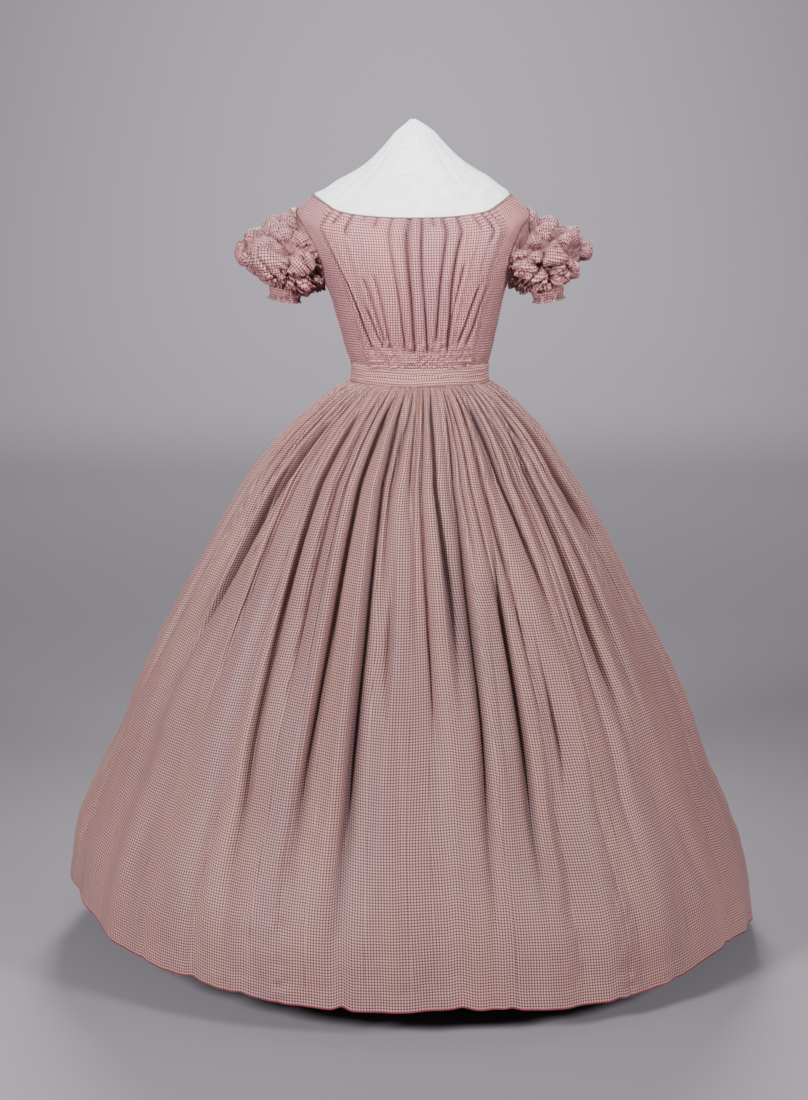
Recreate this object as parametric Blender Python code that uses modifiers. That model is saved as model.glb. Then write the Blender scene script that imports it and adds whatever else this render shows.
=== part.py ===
"""Victorian afternoon dress of fine checked cloth, standing on a limbless dress form.

Units are metres, +Z is up and the front faces -Y.  The origin lies on the floor under
the middle of the form's base.  Angles run round the dress in degrees: 0 is the centre
front, +90 the side at +X, 180 the centre back.
"""
import math

import bmesh
import bpy
import numpy as np

# Driving dimensions
WALL = 0.0014            # thickness of the dress cloth as built
SEAM_GAP = 0.0004        # space left along every seam
REST_GAP = 0.0007        # space between the dress and the form that carries it

WAIST_LOW = 0.9200       # lower edge of the waistband
WAIST_HIGH = 0.9500      # upper edge of the waistband
HEM_HEIGHT = 0.0500      # height of the hem that SKIRT_ROWS is drawn for

SKIRT_COLUMNS = 192      # columns of points round the skirt
FINE_GATHER_COLUMNS = 2  # one stitched gather at the waist: 96 round the skirt
GATHER_COLUMNS = 4       # two of them run together below the band: 48
BROAD_FOLDS = 32         # soft folds round the lower skirt
SEAM_COLUMNS = (-40, -11, 19, 48, 77, 94, 123, 152)   # skirt seams, counted from the front

FRONT_GATHERS = 14       # gathers across the bodice front
FRONT_COLUMNS = 56       # columns of points across the bodice front
SIDE_COLUMNS = 6         # and across each smooth side
BACK_COLUMNS = 8         # and across each back
SLEEVE_COLUMNS = 28      # columns of points round a sleeve

BASE_RADIUS = 0.25
BASE_TOP = 0.060
POLE_RADIUS = 0.014
FORM_BOTTOM = 0.700
FORM_COLUMNS = 30

# Skirt outline by height: half width at the sides, depth to the front and to the back
SKIRT_ROWS = (
    # height, half_width, front, back
    (0.9196, 0.1150, 0.0905, 0.0885),
    (0.9080, 0.1365, 0.1120, 0.1110),
    (0.8949, 0.1545, 0.1300, 0.1300),
    (0.8691, 0.1835, 0.1590, 0.1610),
    (0.8481, 0.2050, 0.1810, 0.1840),
    (0.8077, 0.2395, 0.2160, 0.2210),
    (0.7672, 0.2690, 0.2460, 0.2530),
    (0.7267, 0.2955, 0.2740, 0.2830),
    (0.6453, 0.3420, 0.3220, 0.3340),
    (0.5636, 0.3830, 0.3640, 0.3780),
    (0.4818, 0.4240, 0.4040, 0.4190),
    (0.3997, 0.4610, 0.4390, 0.4550),
    (0.3171, 0.4880, 0.4670, 0.4820),
    (0.2345, 0.5245, 0.5000, 0.5170),
    (0.1510, 0.5550, 0.5290, 0.5460),
    (0.0500, 0.5690, 0.5420, 0.5590),
)

# Heights of the rings of points down the skirt, drawn for a level hem
SKIRT_RINGS = (0.9196, 0.9090, 0.8880, 0.8460, 0.7700, 0.6400, 0.4500, 0.2400, HEM_HEIGHT)

# Height of the hem round the skirt: it hangs a little higher at the wearer's right
HEM_ROWS = (
    # angle, height
    (-180, 0.045),
    (-130, 0.062),
    (-100, 0.090),
    (-76, 0.118),
    (-66, 0.105),
    (-57, 0.082),
    (-48, 0.072),
    (-33, 0.062),
    (-10, 0.049),
    (8, 0.052),
    (25, 0.039),
    (42, 0.041),
    (58, 0.057),
    (70, 0.050),
    (84, 0.036),
    (125, 0.036),
    (180, 0.045),
)

# Size of the waves round the skirt by height
WAVE_ROWS = (
    # height, fine gathers, gathers, broad folds
    (0.9196, 0.0012, 0.0006, 0.0000),
    (0.9090, 0.0014, 0.0018, 0.0000),
    (0.8880, 0.0003, 0.0030, 0.0006),
    (0.8460, 0.0000, 0.0032, 0.0020),
    (0.7700, 0.0000, 0.0016, 0.0036),
    (0.6400, 0.0000, 0.0003, 0.0040),
    (0.4500, 0.0000, 0.0000, 0.0034),
    (0.2400, 0.0000, 0.0000, 0.0026),
    (0.0500, 0.0000, 0.0000, 0.0022),
)

# The deep folds of the skirt: where each starts and ends, how far its valley goes in
# and half its width in degrees
DEEP_FOLDS = (
    # top_angle, low_angle, top_height, low_height, depth, half_width
    (-80, -77, 0.88, 0.42, 0.014, 3.0),
    (-72, -67, 0.58, 0.22, 0.009, 2.7),
    (-57, -63, 0.91, 0.68, 0.016, 2.9),
    (-50, -60, 0.90, 0.50, 0.022, 3.0),
    (-35, -31, 0.92, 0.18, 0.018, 2.8),
    (-18, -21, 0.88, 0.20, 0.018, 2.7),
    (-11, -12, 0.89, 0.14, 0.030, 2.9),
    (-4, -5, 0.74, 0.48, 0.013, 2.2),
    (-1, 0, 0.93, 0.74, 0.014, 2.3),
    (8, 10, 0.90, 0.52, 0.020, 2.6),
    (17, 13, 0.92, 0.14, 0.017, 2.6),
    (24, 22, 0.74, 0.22, 0.032, 2.9),
    (31, 30, 0.66, 0.34, 0.015, 2.4),
    (33, 37, 0.93, 0.60, 0.020, 2.7),
    (49, 47, 0.84, 0.44, 0.022, 2.9),
    (58, 62, 0.76, 0.60, 0.012, 2.4),
    (66, 69, 0.92, 0.66, 0.018, 2.8),
    (66, 63, 0.42, 0.18, 0.011, 2.5),
    (80, 77, 0.90, 0.38, 0.014, 3.0),
    (93, 95, 0.91, 0.28, 0.018, 3.0),
    (105, 103, 0.86, 0.45, 0.015, 2.8),
    (117, 119, 0.91, 0.22, 0.024, 3.1),
    (131, 129, 0.90, 0.40, 0.018, 2.8),
    (143, 146, 0.84, 0.20, 0.022, 3.0),
    (156, 154, 0.91, 0.36, 0.019, 2.8),
    (167, 169, 0.88, 0.24, 0.022, 2.9),
    (180, 179, 0.91, 0.42, 0.017, 2.8),
    (192, 195, 0.89, 0.18, 0.024, 3.0),
    (206, 204, 0.85, 0.42, 0.016, 2.7),
    (217, 220, 0.91, 0.26, 0.022, 3.0),
    (231, 229, 0.90, 0.38, 0.018, 2.9),
    (244, 247, 0.86, 0.22, 0.021, 3.0),
    (257, 255, 0.91, 0.40, 0.017, 3.0),
    (269, 272, 0.89, 0.30, 0.016, 3.0),
)

# Bodice outline, level by level from the waist seam up to the neckline
BODICE_ROWS = (
    # side, front and back height, half width, depth to the front and to the back
    (0.9504, 0.9504, 0.9504, 0.1105, 0.0880, 0.0850),
    (0.9700, 0.9690, 0.9700, 0.1178, 0.0920, 0.0880),
    (0.9950, 0.9920, 0.9950, 0.1238, 0.0975, 0.0930),
    (1.0250, 1.0200, 1.0230, 0.1315, 0.1050, 0.0990),
    (1.0550, 1.0480, 1.0510, 0.1385, 0.1110, 0.1030),
    (1.0765, 1.0735, 1.0755, 0.1465, 0.1145, 0.1050),
    (1.1060, 1.0990, 1.1010, 0.1580, 0.1160, 0.1050),
    (1.1360, 1.1230, 1.1260, 0.1700, 0.1150, 0.1040),
    (1.1660, 1.1450, 1.1500, 0.1820, 0.1110, 0.1010),
    (1.1860, 1.1600, 1.1660, 0.1880, 0.1065, 0.0980),
    (1.1990, 1.1700, 1.1760, 0.1800, 0.1030, 0.0955),
    (1.2095, 1.1780, 1.1840, 0.1690, 0.1000, 0.0930),
    (1.2180, 1.1840, 1.1910, 0.1590, 0.0975, 0.0900),
)
NECK_LEVEL = len(BODICE_ROWS) - 1

# How the neckline rises from the middle to the shoulder: angle from the front or back
# and share of the rise; the outer rows let it run level at the middle and the shoulder
NECK_RISE = (
    (-25, 0.06), (0, 0.00), (25, 0.06), (42, 0.20), (50, 0.32), (58, 0.55), (66, 0.75),
    (76, 0.92), (90, 1.00), (104, 0.92),
)

# Edge between the gathered front and the smooth side, by bodice level
FRONT_SEAM = ((0, 50.0), (6, 50.5), (9, 52.0), (12, 57.0))

# Rear edge of the smooth side: side seam, front half of the armhole, shoulder seam
SIDE_EDGE = (
    (0.0, 90), (0.4, 90), (0.8, 90), (1.5, 90), (3.0, 90), (4.0, 90), (5.0, 90),
    (5.5, 75), (6.0, 69.5), (7.0, 66.5), (8.0, 69), (8.6, 74), (9.2, 83), (9.8, 102),
    (11.0, 108), (12.0, 112),
)

# Front edge of the back: side seam, rear half of the armhole, shoulder seam
BACK_EDGE = (
    (0.0, 90), (1.5, 90), (3.0, 90), (4.0, 90), (5.0, 90), (5.5, 105), (6.0, 110.5),
    (7.0, 113.5), (8.0, 113), (9.0, 109), (9.8, 102), (11.0, 108), (12.0, 112),
)
ARMHOLE_LEVELS = (5.0, 9.8)

FRONT_LEVELS = (0, 0.4, 0.8, 1.5, 3, 4, 6, 8, 9.8, 11, 12)
FRONT_WAVES = (
    # level, stitched gathers, long folds
    (0.0, 0.0006, 0.0000),
    (0.8, 0.0012, 0.0006),
    (1.5, 0.0006, 0.0018),
    (3.0, 0.0000, 0.0024),
    (6.0, 0.0000, 0.0020),
    (9.8, 0.0000, 0.0016),
    (11.0, 0.0000, 0.0018),
    (12.0, 0.0000, 0.0012),
)

# Puff sleeve at +X: each ring's lowest point by the body, its outermost point and half
# its depth.  Ring 0 is the armhole itself.
SLEEVE_ROWS = (
    # inner_x, inner_z, outer_x, outer_z, half_depth, crumple
    (0.1475, 1.0765, 0.1880, 1.1950, 0.0460, 0.0000),
    (0.1545, 1.0720, 0.1975, 1.1870, 0.0560, 0.0020),
    (0.1600, 1.0695, 0.2200, 1.1780, 0.0635, 0.0030),
    (0.1650, 1.0675, 0.2520, 1.1640, 0.0660, 0.0045),
    (0.1700, 1.0660, 0.2770, 1.1440, 0.0650, 0.0045),
    (0.1745, 1.0650, 0.2740, 1.1150, 0.0610, 0.0040),
    (0.1785, 1.0645, 0.2550, 1.0920, 0.0550, 0.0020),
    (0.1820, 1.0650, 0.2370, 1.0750, 0.0490, 0.0000),
)
SLEEVE_BAND_DEPTH = 0.021
SLEEVE_BAND_FLARE = 0.0012

# Soft horizontal folds of the waistband: how proud each line stands
BAND_FOLDS = ((0.00, 0.0002), (0.22, 0.0013), (0.45, 0.0003), (0.72, 0.0015), (1.00, 0.0004))
BAND_START = 70          # angle of the band's hidden end
BAND_STEP = 10           # degrees between its columns
BAND_LAP = 10            # degrees that its outer end lies over the hidden one
BAND_LIFT = WALL + 2 * SEAM_GAP

# The dress stands a few millimetres out of true: sideways place of its middle by height
SIDE_SHIFT = (
    # height, shift
    (0.00, -0.003),
    (0.30, -0.007),
    (0.78, -0.008),
    (0.92, 0.0075),
    (0.95, 0.0080),
    (1.06, 0.0040),
    (1.14, -0.0010),
    (1.22, -0.0040),
    (1.34, -0.0030),
)

# Dress form below the waist and above the neckline
HIP_ROWS = (
    # height, half width, depth to the front and to the back
    (0.700, 0.146, 0.112, 0.118),
    (0.760, 0.160, 0.122, 0.130),
    (0.820, 0.152, 0.116, 0.122),
    (0.872, 0.126, 0.098, 0.100),
    (0.904, 0.1060, 0.0840, 0.0840),
    (0.920, 0.1040, 0.0815, 0.0795),
    (0.936, 0.1084, 0.0859, 0.0829),
)
NECK_ROWS = (
    # side and front height, half width, depth to the front and to the back
    (1.2240, 1.1970, 0.1525, 0.0910, 0.0835),
    (1.2330, 1.2090, 0.1400, 0.0860, 0.0795),
    (1.2474, 1.2280, 0.1210, 0.0775, 0.0725),
    (1.2600, 1.2440, 0.0985, 0.0680, 0.0650),
    (1.2757, 1.2650, 0.0755, 0.0560, 0.0550),
    (1.3000, 1.2950, 0.0500, 0.0400, 0.0400),
    (1.3190, 1.3170, 0.0325, 0.0270, 0.0270),
    (1.3310, 1.3300, 0.0150, 0.0140, 0.0140),
    (1.3370, 1.3368, 0.0040, 0.0040, 0.0040),
)

# Colours: the cloth seen from a few steps, its trims, the form
CHECK_CLOTH = (0.42, 0.24, 0.235)
BAND_CLOTH = (0.47, 0.28, 0.26)
PIPING = (0.20, 0.19, 0.16)
CRIMSON = (0.33, 0.06, 0.08)
WHITE_COVER = (0.88, 0.86, 0.84)
DARK_METAL = (0.05, 0.05, 0.055)


def curve_through(x, points, column=1):
    """Smooth value at x through a table whose first column rises."""
    table = np.asarray([(row[0], row[column]) for row in points], dtype=float)
    xs, ys = table[:, 0], table[:, 1]
    slopes = np.gradient(ys, xs)
    x = np.clip(np.asarray(x, dtype=float), xs[0], xs[-1])
    i = np.clip(np.searchsorted(xs, x, side="right") - 1, 0, len(xs) - 2)
    span = xs[i + 1] - xs[i]
    t = (x - xs[i]) / span
    return (
        (2 * t**3 - 3 * t**2 + 1) * ys[i]
        + (t**3 - 2 * t**2 + t) * span * slopes[i]
        + (3 * t**2 - 2 * t**3) * ys[i + 1]
        + (t**3 - t**2) * span * slopes[i + 1]
    )


def straight_through(x, points, column=1):
    """Value at x on straight lines through a table whose first column rises."""
    return np.interp(x, [row[0] for row in points], [row[column] for row in points])


def smooth_step(x):
    x = np.clip(x, 0.0, 1.0)
    return x * x * (3 - 2 * x)


def turned(angle):
    """The angle brought into -180 to 180 degrees."""
    return (np.asarray(angle, dtype=float) + 180) % 360 - 180


def unit(vectors):
    return vectors / np.maximum(np.linalg.norm(vectors, axis=-1, keepdims=True), 1e-12)


def oval(angle, half_width, front, back):
    """Point of a ring that is deeper or shallower to the front than to the back."""
    a = np.radians(angle)
    depth = np.where(np.cos(a) > 0, front, back)
    return half_width * np.sin(a), -depth * np.cos(a)


def grid_normals(points, closed):
    """Outward normals of a grid whose columns run counter-clockwise and rows run up."""
    if closed:
        across = np.roll(points, -1, axis=1) - np.roll(points, 1, axis=1)
    else:
        across = np.gradient(points, axis=1)
    return unit(np.cross(across, np.gradient(points, axis=0)))


def material(name, colour, roughness, metallic=0.0):
    made = bpy.data.materials.new(name)
    made.use_nodes = True
    shader = made.node_tree.nodes["Principled BSDF"]
    shader.inputs["Base Color"].default_value = (*colour, 1.0)
    shader.inputs["Roughness"].default_value = roughness
    shader.inputs["Metallic"].default_value = metallic
    return made


def put(name, bm, made_of, collection):
    bmesh.ops.recalc_face_normals(bm, faces=bm.faces)
    mesh = bpy.data.meshes.new(name)
    bm.to_mesh(mesh)
    bm.free()
    mesh.shade_smooth()
    mesh.materials.append(made_of)
    piece = bpy.data.objects.new(name, mesh)
    collection.objects.link(piece)
    return piece


def wall(name, outer, inner, made_of, collection, closed=False):
    """Closed wall of cloth lofted between an outer and an inner skin of points."""
    bm = bmesh.new()
    skins = [[[bm.verts.new(p) for p in line] for line in skin] for skin in (outer, inner)]
    rows, columns = outer.shape[:2]
    steps = range(columns if closed else columns - 1)
    for skin in skins:
        for r in range(rows - 1):
            for c in steps:
                n = (c + 1) % columns
                bm.faces.new((skin[r][c], skin[r][n], skin[r + 1][n], skin[r + 1][c]))
    for r in (0, rows - 1):
        for c in steps:
            n = (c + 1) % columns
            bm.faces.new((skins[0][r][c], skins[1][r][c], skins[1][r][n], skins[0][r][n]))
    if not closed:
        for c in (0, columns - 1):
            for r in range(rows - 1):
                rim = (skins[0][r][c], skins[0][r + 1][c], skins[1][r + 1][c], skins[1][r][c])
                bm.faces.new(rim)
    return put(name, bm, made_of, collection)


def capped(name, rings, made_of, collection):
    """Solid lofted through rings of points, closed at both ends."""
    bm = bmesh.new()
    loops = [[bm.verts.new(p) for p in ring] for ring in rings]
    count = len(loops[0])
    for low, high in zip(loops, loops[1:]):
        for c in range(count):
            n = (c + 1) % count
            bm.faces.new((low[c], low[n], high[n], high[c]))
    bm.faces.new(loops[0])
    bm.faces.new(loops[-1])
    return put(name, bm, made_of, collection)


def hem_height(angle):
    return curve_through(turned(angle), HEM_ROWS)


def skirt_height(angle, level):
    """Height of a ring that is drawn at level, pulled up or down towards the hem."""
    drop = (SKIRT_ROWS[0][0] - level) / (SKIRT_ROWS[0][0] - HEM_HEIGHT)
    return level + (hem_height(angle) - HEM_HEIGHT) * drop**2


def side_shift(height):
    return straight_through(height, SIDE_SHIFT)


def deep_folds(angle, level):
    """How far the named folds draw the skirt in."""
    total = np.zeros(np.broadcast(angle, level).shape)
    for top_angle, low_angle, top, low, depth, half_width in DEEP_FOLDS:
        along = (top - level) / (top - low)
        middle = top_angle + (low_angle - top_angle) * np.clip(along, 0, 1)
        fade = smooth_step(along * 4) * smooth_step((1.25 - along) * 2.5)
        aside = turned(angle - middle) / half_width
        total += depth * fade * np.exp(-aside**2)
    return total


def skirt_waves(columns, angle, level):
    """How far the gathers and the broad folds draw the skirt in."""
    fine = curve_through(-level, [(-r[0], r[1]) for r in WAVE_ROWS])
    gather = curve_through(-level, [(-r[0], r[2]) for r in WAVE_ROWS])
    broad = curve_through(-level, [(-r[0], r[3]) for r in WAVE_ROWS])
    a = np.radians(angle)
    uneven = 1 + 0.35 * np.sin(5 * a + 0.8) + 0.2 * np.sin(11 * a + 2.0)
    drift = 1.1 * np.sin(3 * a + 0.7) + 0.7 * np.sin(7 * a + 2.1)
    stitched = 1 - np.cos(2 * np.pi * columns / FINE_GATHER_COLUMNS)
    paired = 1 - np.cos(2 * np.pi * columns / GATHER_COLUMNS)
    soft = 1 - np.cos(BROAD_FOLDS * a + drift)
    return fine * stitched + gather * paired * uneven + broad * soft * uneven


def skirt_points():
    """Outer and inner skin of the whole skirt, rows from the hem up to the waist."""
    columns = np.arange(SKIRT_COLUMNS)[None, :]
    level = np.asarray(SKIRT_RINGS[::-1])[:, None]
    angle = columns * 360.0 / SKIRT_COLUMNS + 0 * level
    flipped = [(-r[0], *r[1:]) for r in SKIRT_ROWS]
    width, front, back = (curve_through(-level, flipped, k) for k in (1, 2, 3))
    drawn_in = deep_folds(angle, level) + skirt_waves(columns, angle, level)
    x, y = oval(angle, width - drawn_in, front - drawn_in, back - drawn_in)
    z = skirt_height(angle, level)
    outer = np.stack([x + side_shift(z), y, z], axis=-1)
    inward = -WALL * grid_normals(outer, closed=True)
    inward[-1, :, 2] = 0.0
    inward[0, :, 2] = 0.0
    return outer, outer + inward


def between_seams(skin, first, last):
    """The columns of one panel, with half the seam gap taken off both edges."""
    columns = [c % SKIRT_COLUMNS for c in range(first, last + 1)]
    panel = skin[:, columns].copy()
    start = unit(panel[:, 1] - panel[:, 0]) * SEAM_GAP / 2
    end = unit(panel[:, -2] - panel[:, -1]) * SEAM_GAP / 2
    panel[:, 0] += start
    panel[:, -1] += end
    return panel


def skirt(made_of, collection):
    names = ("left_front", "front", "right_front", "right_back", "back", "left_back", "left_side")
    outer, inner = skirt_points()
    for name, first, last in zip(names, SEAM_COLUMNS, SEAM_COLUMNS[1:]):
        wall(
            f"skirt_{name}",
            between_seams(outer, first, last),
            between_seams(inner, first, last),
            made_of,
            collection,
        )


def hem_braid(made_of, collection):
    """Thin braid under the hem's edge."""
    height, half, gap = 0.0022, 0.0010, 0.0007
    outer, _ = skirt_points()
    edge = outer[0][::2] - [0, 0, gap]
    out = unit(edge * [1, 1, 0])
    middle = edge - out * WALL / 2
    low = middle - [0, 0, height]
    outside = np.stack([low + out * half, middle + out * half])
    inside = np.stack([low - out * half, middle - out * half])
    wall("hem_braid", outside, inside, made_of, collection, closed=True)


def bodice_point(angle, level):
    """Point of the bodice's plain surface."""
    angle, level = np.broadcast_arrays(np.asarray(angle, float), np.asarray(level, float))
    table = [(k, *row) for k, row in enumerate(BODICE_ROWS)]
    side, front_z, back_z, width, front, back = (
        curve_through(level, table, k) for k in range(1, 7)
    )
    around = np.abs(turned(angle))
    from_front = curve_through(around, NECK_RISE)
    from_back = curve_through(180 - around, NECK_RISE)
    z = np.where(
        around < 90,
        front_z + (side - front_z) * from_front,
        back_z + (side - back_z) * from_back,
    )
    x, y = oval(angle, width, front, back)
    return np.stack([x + side_shift(z), y, z], axis=-1)


def bodice_normal(angle, level):
    step_angle, step_level = 0.5, 0.02
    low = np.clip(np.asarray(level, float) - step_level, 0, NECK_LEVEL)
    high = np.clip(np.asarray(level, float) + step_level, 0, NECK_LEVEL)
    across = bodice_point(angle + step_angle, level) - bodice_point(angle - step_angle, level)
    along = bodice_point(angle, high) - bodice_point(angle, low)
    return unit(np.cross(across, along))


def seam_trim(angle, level):
    """Half the seam gap as degrees round the bodice."""
    speed = np.linalg.norm(
        bodice_point(angle + 0.5, level) - bodice_point(angle - 0.5, level), axis=-1
    )
    return SEAM_GAP / 2 / speed


def bodice_skins(levels, start, end, columns, folds=None):
    """Outer and inner skin on the bodice's surface between two edges given by level."""
    level = np.asarray(levels, float)[:, None]
    start, end = np.asarray(start, float), np.asarray(end, float)
    start = start + seam_trim(start, level[:, 0])
    end = end - seam_trim(end, level[:, 0])
    share = np.linspace(0, 1, columns + 1)[None, :]
    angle = start[:, None] + (end - start)[:, None] * share
    level = level + 0 * angle
    normal = bodice_normal(angle, level)
    normal[0, :, 2] = 0.0
    outer = bodice_point(angle, level)
    if folds is not None:
        lift = normal.copy()
        lift[-1, :, 2] = 0.0
        outer = outer + lift * folds(share, level)[..., None]
    return outer, outer - normal * WALL


def along_front_seam(skins, levels, column, side):
    """Lays one edge of a side piece on the same straight runs as the front's edge."""
    seam = side * straight_through(FRONT_LEVELS, FRONT_SEAM)
    other = side * straight_through(FRONT_LEVELS, SIDE_EDGE)
    edges = (seam, other) if side > 0 else (other, seam)
    for skin, coarse in zip(skins, bodice_skins(FRONT_LEVELS, *edges, 1)):
        for axis in range(3):
            skin[:, column, axis] = np.interp(levels, FRONT_LEVELS, coarse[:, column, axis])


def front_folds(share, level):
    """Long folds that fan out over the bust from the stitched gathers at the waist."""
    stitched = curve_through(level, FRONT_WAVES, 1)
    long = curve_through(level, FRONT_WAVES, 2)
    columns = share * FRONT_COLUMNS
    edge = smooth_step(np.minimum(share, 1 - share) * FRONT_GATHERS)
    uneven = 1 + 0.4 * np.sin(9 * share + 1.0) + 0.25 * np.sin(23 * share)
    fine = 1 - np.cos(2 * np.pi * columns / 2)
    fold = 1 - np.cos(2 * np.pi * columns * FRONT_GATHERS / FRONT_COLUMNS)
    return edge * (stitched * fine + long * fold * uneven)


def bodice(made_of, collection):
    seam = straight_through(FRONT_LEVELS, FRONT_SEAM)
    front = bodice_skins(FRONT_LEVELS, -seam, seam, FRONT_COLUMNS, front_folds)
    wall("bodice_front", *front, made_of, collection)
    levels = [row[0] for row in SIDE_EDGE]
    seam = straight_through(levels, FRONT_SEAM)
    rear = np.asarray([row[1] for row in SIDE_EDGE], float)
    right = bodice_skins(levels, seam, rear, SIDE_COLUMNS)
    left = bodice_skins(levels, -rear, -seam, SIDE_COLUMNS)
    along_front_seam(right, levels, 0, 1)
    along_front_seam(left, levels, -1, -1)
    wall("bodice_side_right", *right, made_of, collection)
    wall("bodice_side_left", *left, made_of, collection)
    levels = [row[0] for row in BACK_EDGE]
    fore = np.asarray([row[1] for row in BACK_EDGE], float)
    middle = np.full(len(levels), 180.0)
    right = bodice_skins(levels, fore, middle, BACK_COLUMNS)
    left = bodice_skins(levels, -middle, -fore, BACK_COLUMNS)
    wall("bodice_back_right", *right, made_of, collection)
    wall("bodice_back_left", *left, made_of, collection)


def neck_binding(made_of, collection):
    """Thin corded binding along the neckline."""
    half_height, half_depth, sides, columns = 0.0015, 0.0012, 6, 48
    angle = np.linspace(0, 360, columns, endpoint=False)
    edge = bodice_point(angle, NECK_LEVEL)
    out = unit(edge * [1, 1, 0])
    lift = np.asarray([0, 0, SEAM_GAP + half_height])
    middle = edge + lift + out * (half_depth - WALL + REST_GAP / 2)
    bm = bmesh.new()
    loops = []
    for k in range(sides):
        turn = 2 * math.pi * k / sides
        ring = middle + out * half_depth * math.cos(turn)
        ring = ring + np.asarray([0, 0, half_height * math.sin(turn)])
        loops.append([bm.verts.new(p) for p in ring])
    for k in range(sides):
        here, there = loops[k], loops[(k + 1) % sides]
        for c in range(columns):
            n = (c + 1) % columns
            bm.faces.new((here[c], here[n], there[n], there[c]))
    put("neck_binding", bm, made_of, collection)


def waistband(made_of, collection):
    """Band with soft horizontal folds; its outer end laps over the hidden end."""
    angle = np.arange(BAND_START, BAND_START + 360 + BAND_LAP + 1, BAND_STEP)[None, :]
    share = np.asarray([row[0] for row in BAND_FOLDS])[:, None]
    proud = np.asarray([row[1] for row in BAND_FOLDS])[:, None]
    lapped = smooth_step((angle - BAND_START - 330) / 30)
    lift = BAND_LIFT * lapped + 0 * share
    z = WAIST_LOW + (WAIST_HIGH - WAIST_LOW) * share + 0 * angle
    _, _, _, width, front, back = BODICE_ROWS[0]

    def skin(out):
        x, y = oval(angle, width + out, front + out, back + out)
        return np.stack([x + side_shift(BODICE_ROWS[0][0]), y, z], axis=-1)

    inner = skin(lift + proud * lapped - WALL)
    wall("waistband", skin(proud + lift), inner, made_of, collection)


def armhole(columns):
    """Points of the armhole on the bodice at +X, from its lowest point over the front."""
    fore = [row for row in SIDE_EDGE if ARMHOLE_LEVELS[0] <= row[0] <= ARMHOLE_LEVELS[1]]
    rear = [row for row in BACK_EDGE if ARMHOLE_LEVELS[0] <= row[0] < ARMHOLE_LEVELS[1]]
    outline = fore + rear[::-1][:-1]
    level = np.asarray([row[0] for row in outline] + [outline[0][0]])
    angle = np.asarray([row[1] for row in outline] + [outline[0][1]])
    points = bodice_point(angle, level)
    run = np.concatenate([[0], np.cumsum(np.linalg.norm(np.diff(points, axis=0), axis=1))])
    at = np.linspace(0, run[-1], columns, endpoint=False)
    return np.interp(at, run, angle), np.interp(at, run, level)


def sleeve_rings(side):
    """Outer points of one sleeve, ring by ring from the armhole to the band."""
    angle, level = armhole(SLEEVE_COLUMNS)
    edge = bodice_point(angle, level)
    normal = bodice_normal(angle, level)
    middle = edge.mean(axis=0)
    aside = unit(edge - middle)
    aside = unit(aside - normal * np.sum(aside * normal, axis=1, keepdims=True))
    first = edge + normal * WALL + aside * (2 * WALL)
    first[:, 0] -= side_shift(first[:, 2])
    turn = 2 * np.pi * np.arange(SLEEVE_COLUMNS) / SLEEVE_COLUMNS
    rings = [first]
    for k, (inner_x, inner_z, outer_x, outer_z, depth, crumple) in enumerate(SLEEVE_ROWS[1:]):
        centre = np.asarray([(inner_x + outer_x) / 2, 0.0, (inner_z + outer_z) / 2])
        reach = np.asarray([(outer_x - inner_x) / 2, 0.0, (outer_z - inner_z) / 2])
        ring = centre - np.cos(turn)[:, None] * reach
        ring[:, 1] -= depth * np.sin(turn)
        away = unit(ring - centre)
        rumple = np.sin(5 * turn + 1.7 * k + side) + 0.6 * np.sin(8 * turn - 1.1 * k + 2 * side)
        outward = 0.4 + 0.6 * (1 - np.cos(turn)) / 2
        rings.append(ring + away * (crumple * rumple * outward)[:, None])
    points = np.stack(rings)
    points[..., 0] = side * points[..., 0] + side_shift(points[..., 2])
    return points


def sleeve(side, name, made_of, collection):
    outer = sleeve_rings(side)
    normal = grid_normals(outer, closed=True)
    inside = outer.mean(axis=1, keepdims=True) - outer
    facing = np.sign(np.sum(normal * inside, axis=(0, 1, 2)))
    inward = normal * facing
    inward[0] = unit(inside[0])
    inward[-1] = unit(inside[-1])
    wall(f"sleeve_{name}", outer, outer + inward * WALL, made_of, collection, closed=True)
    cuff = outer[-1]
    middle = cuff.mean(axis=0)
    down = unit(np.cross(cuff[7] - middle, cuff[0] - middle))
    down = down * -np.sign(down[2])
    spread = unit(cuff - middle)
    top = cuff + down * SEAM_GAP
    low = cuff + down * SLEEVE_BAND_DEPTH + spread * SLEEVE_BAND_FLARE
    outside = np.stack([top, low])
    wall(
        f"sleeve_band_{name}",
        outside,
        outside - spread * WALL,
        made_of,
        collection,
        closed=True,
    )


def form_torso(made_of, collection):
    """Smooth limbless form: hips, waist and chest inside the dress, a tapering top."""
    angle = np.linspace(0, 360, FORM_COLUMNS, endpoint=False)
    rings = []
    for height, width, front, back in HIP_ROWS:
        x, y = oval(angle, width, front, back)
        shift = side_shift(BODICE_ROWS[0][0]) * smooth_step((height - FORM_BOTTOM) / 0.2)
        rings.append(np.stack([x + shift, y, np.full(FORM_COLUMNS, height)], axis=-1))
    seats = ((0, WALL + REST_GAP), (1.2, 0.004), (3, 0.006), (5, 0.007), (7, 0.007))
    seats += ((9, 0.006), (10.5, 0.004), (12, WALL + REST_GAP))
    for level, inset in seats:
        out = bodice_normal(angle, level)
        if level == 0:
            out[:, 2] = 0.0
        rings.append(bodice_point(angle, level) - out * inset)
    around = np.abs(turned(angle))
    rise = curve_through(90 - np.abs(90 - around), NECK_RISE)
    for side, front_z, width, front, back in NECK_ROWS:
        x, y = oval(angle, width, front, back)
        z = front_z + (side - front_z) * rise
        rings.append(np.stack([x + side_shift(z), y, z], axis=-1))
    capped("form_torso", rings, made_of, collection)


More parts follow.
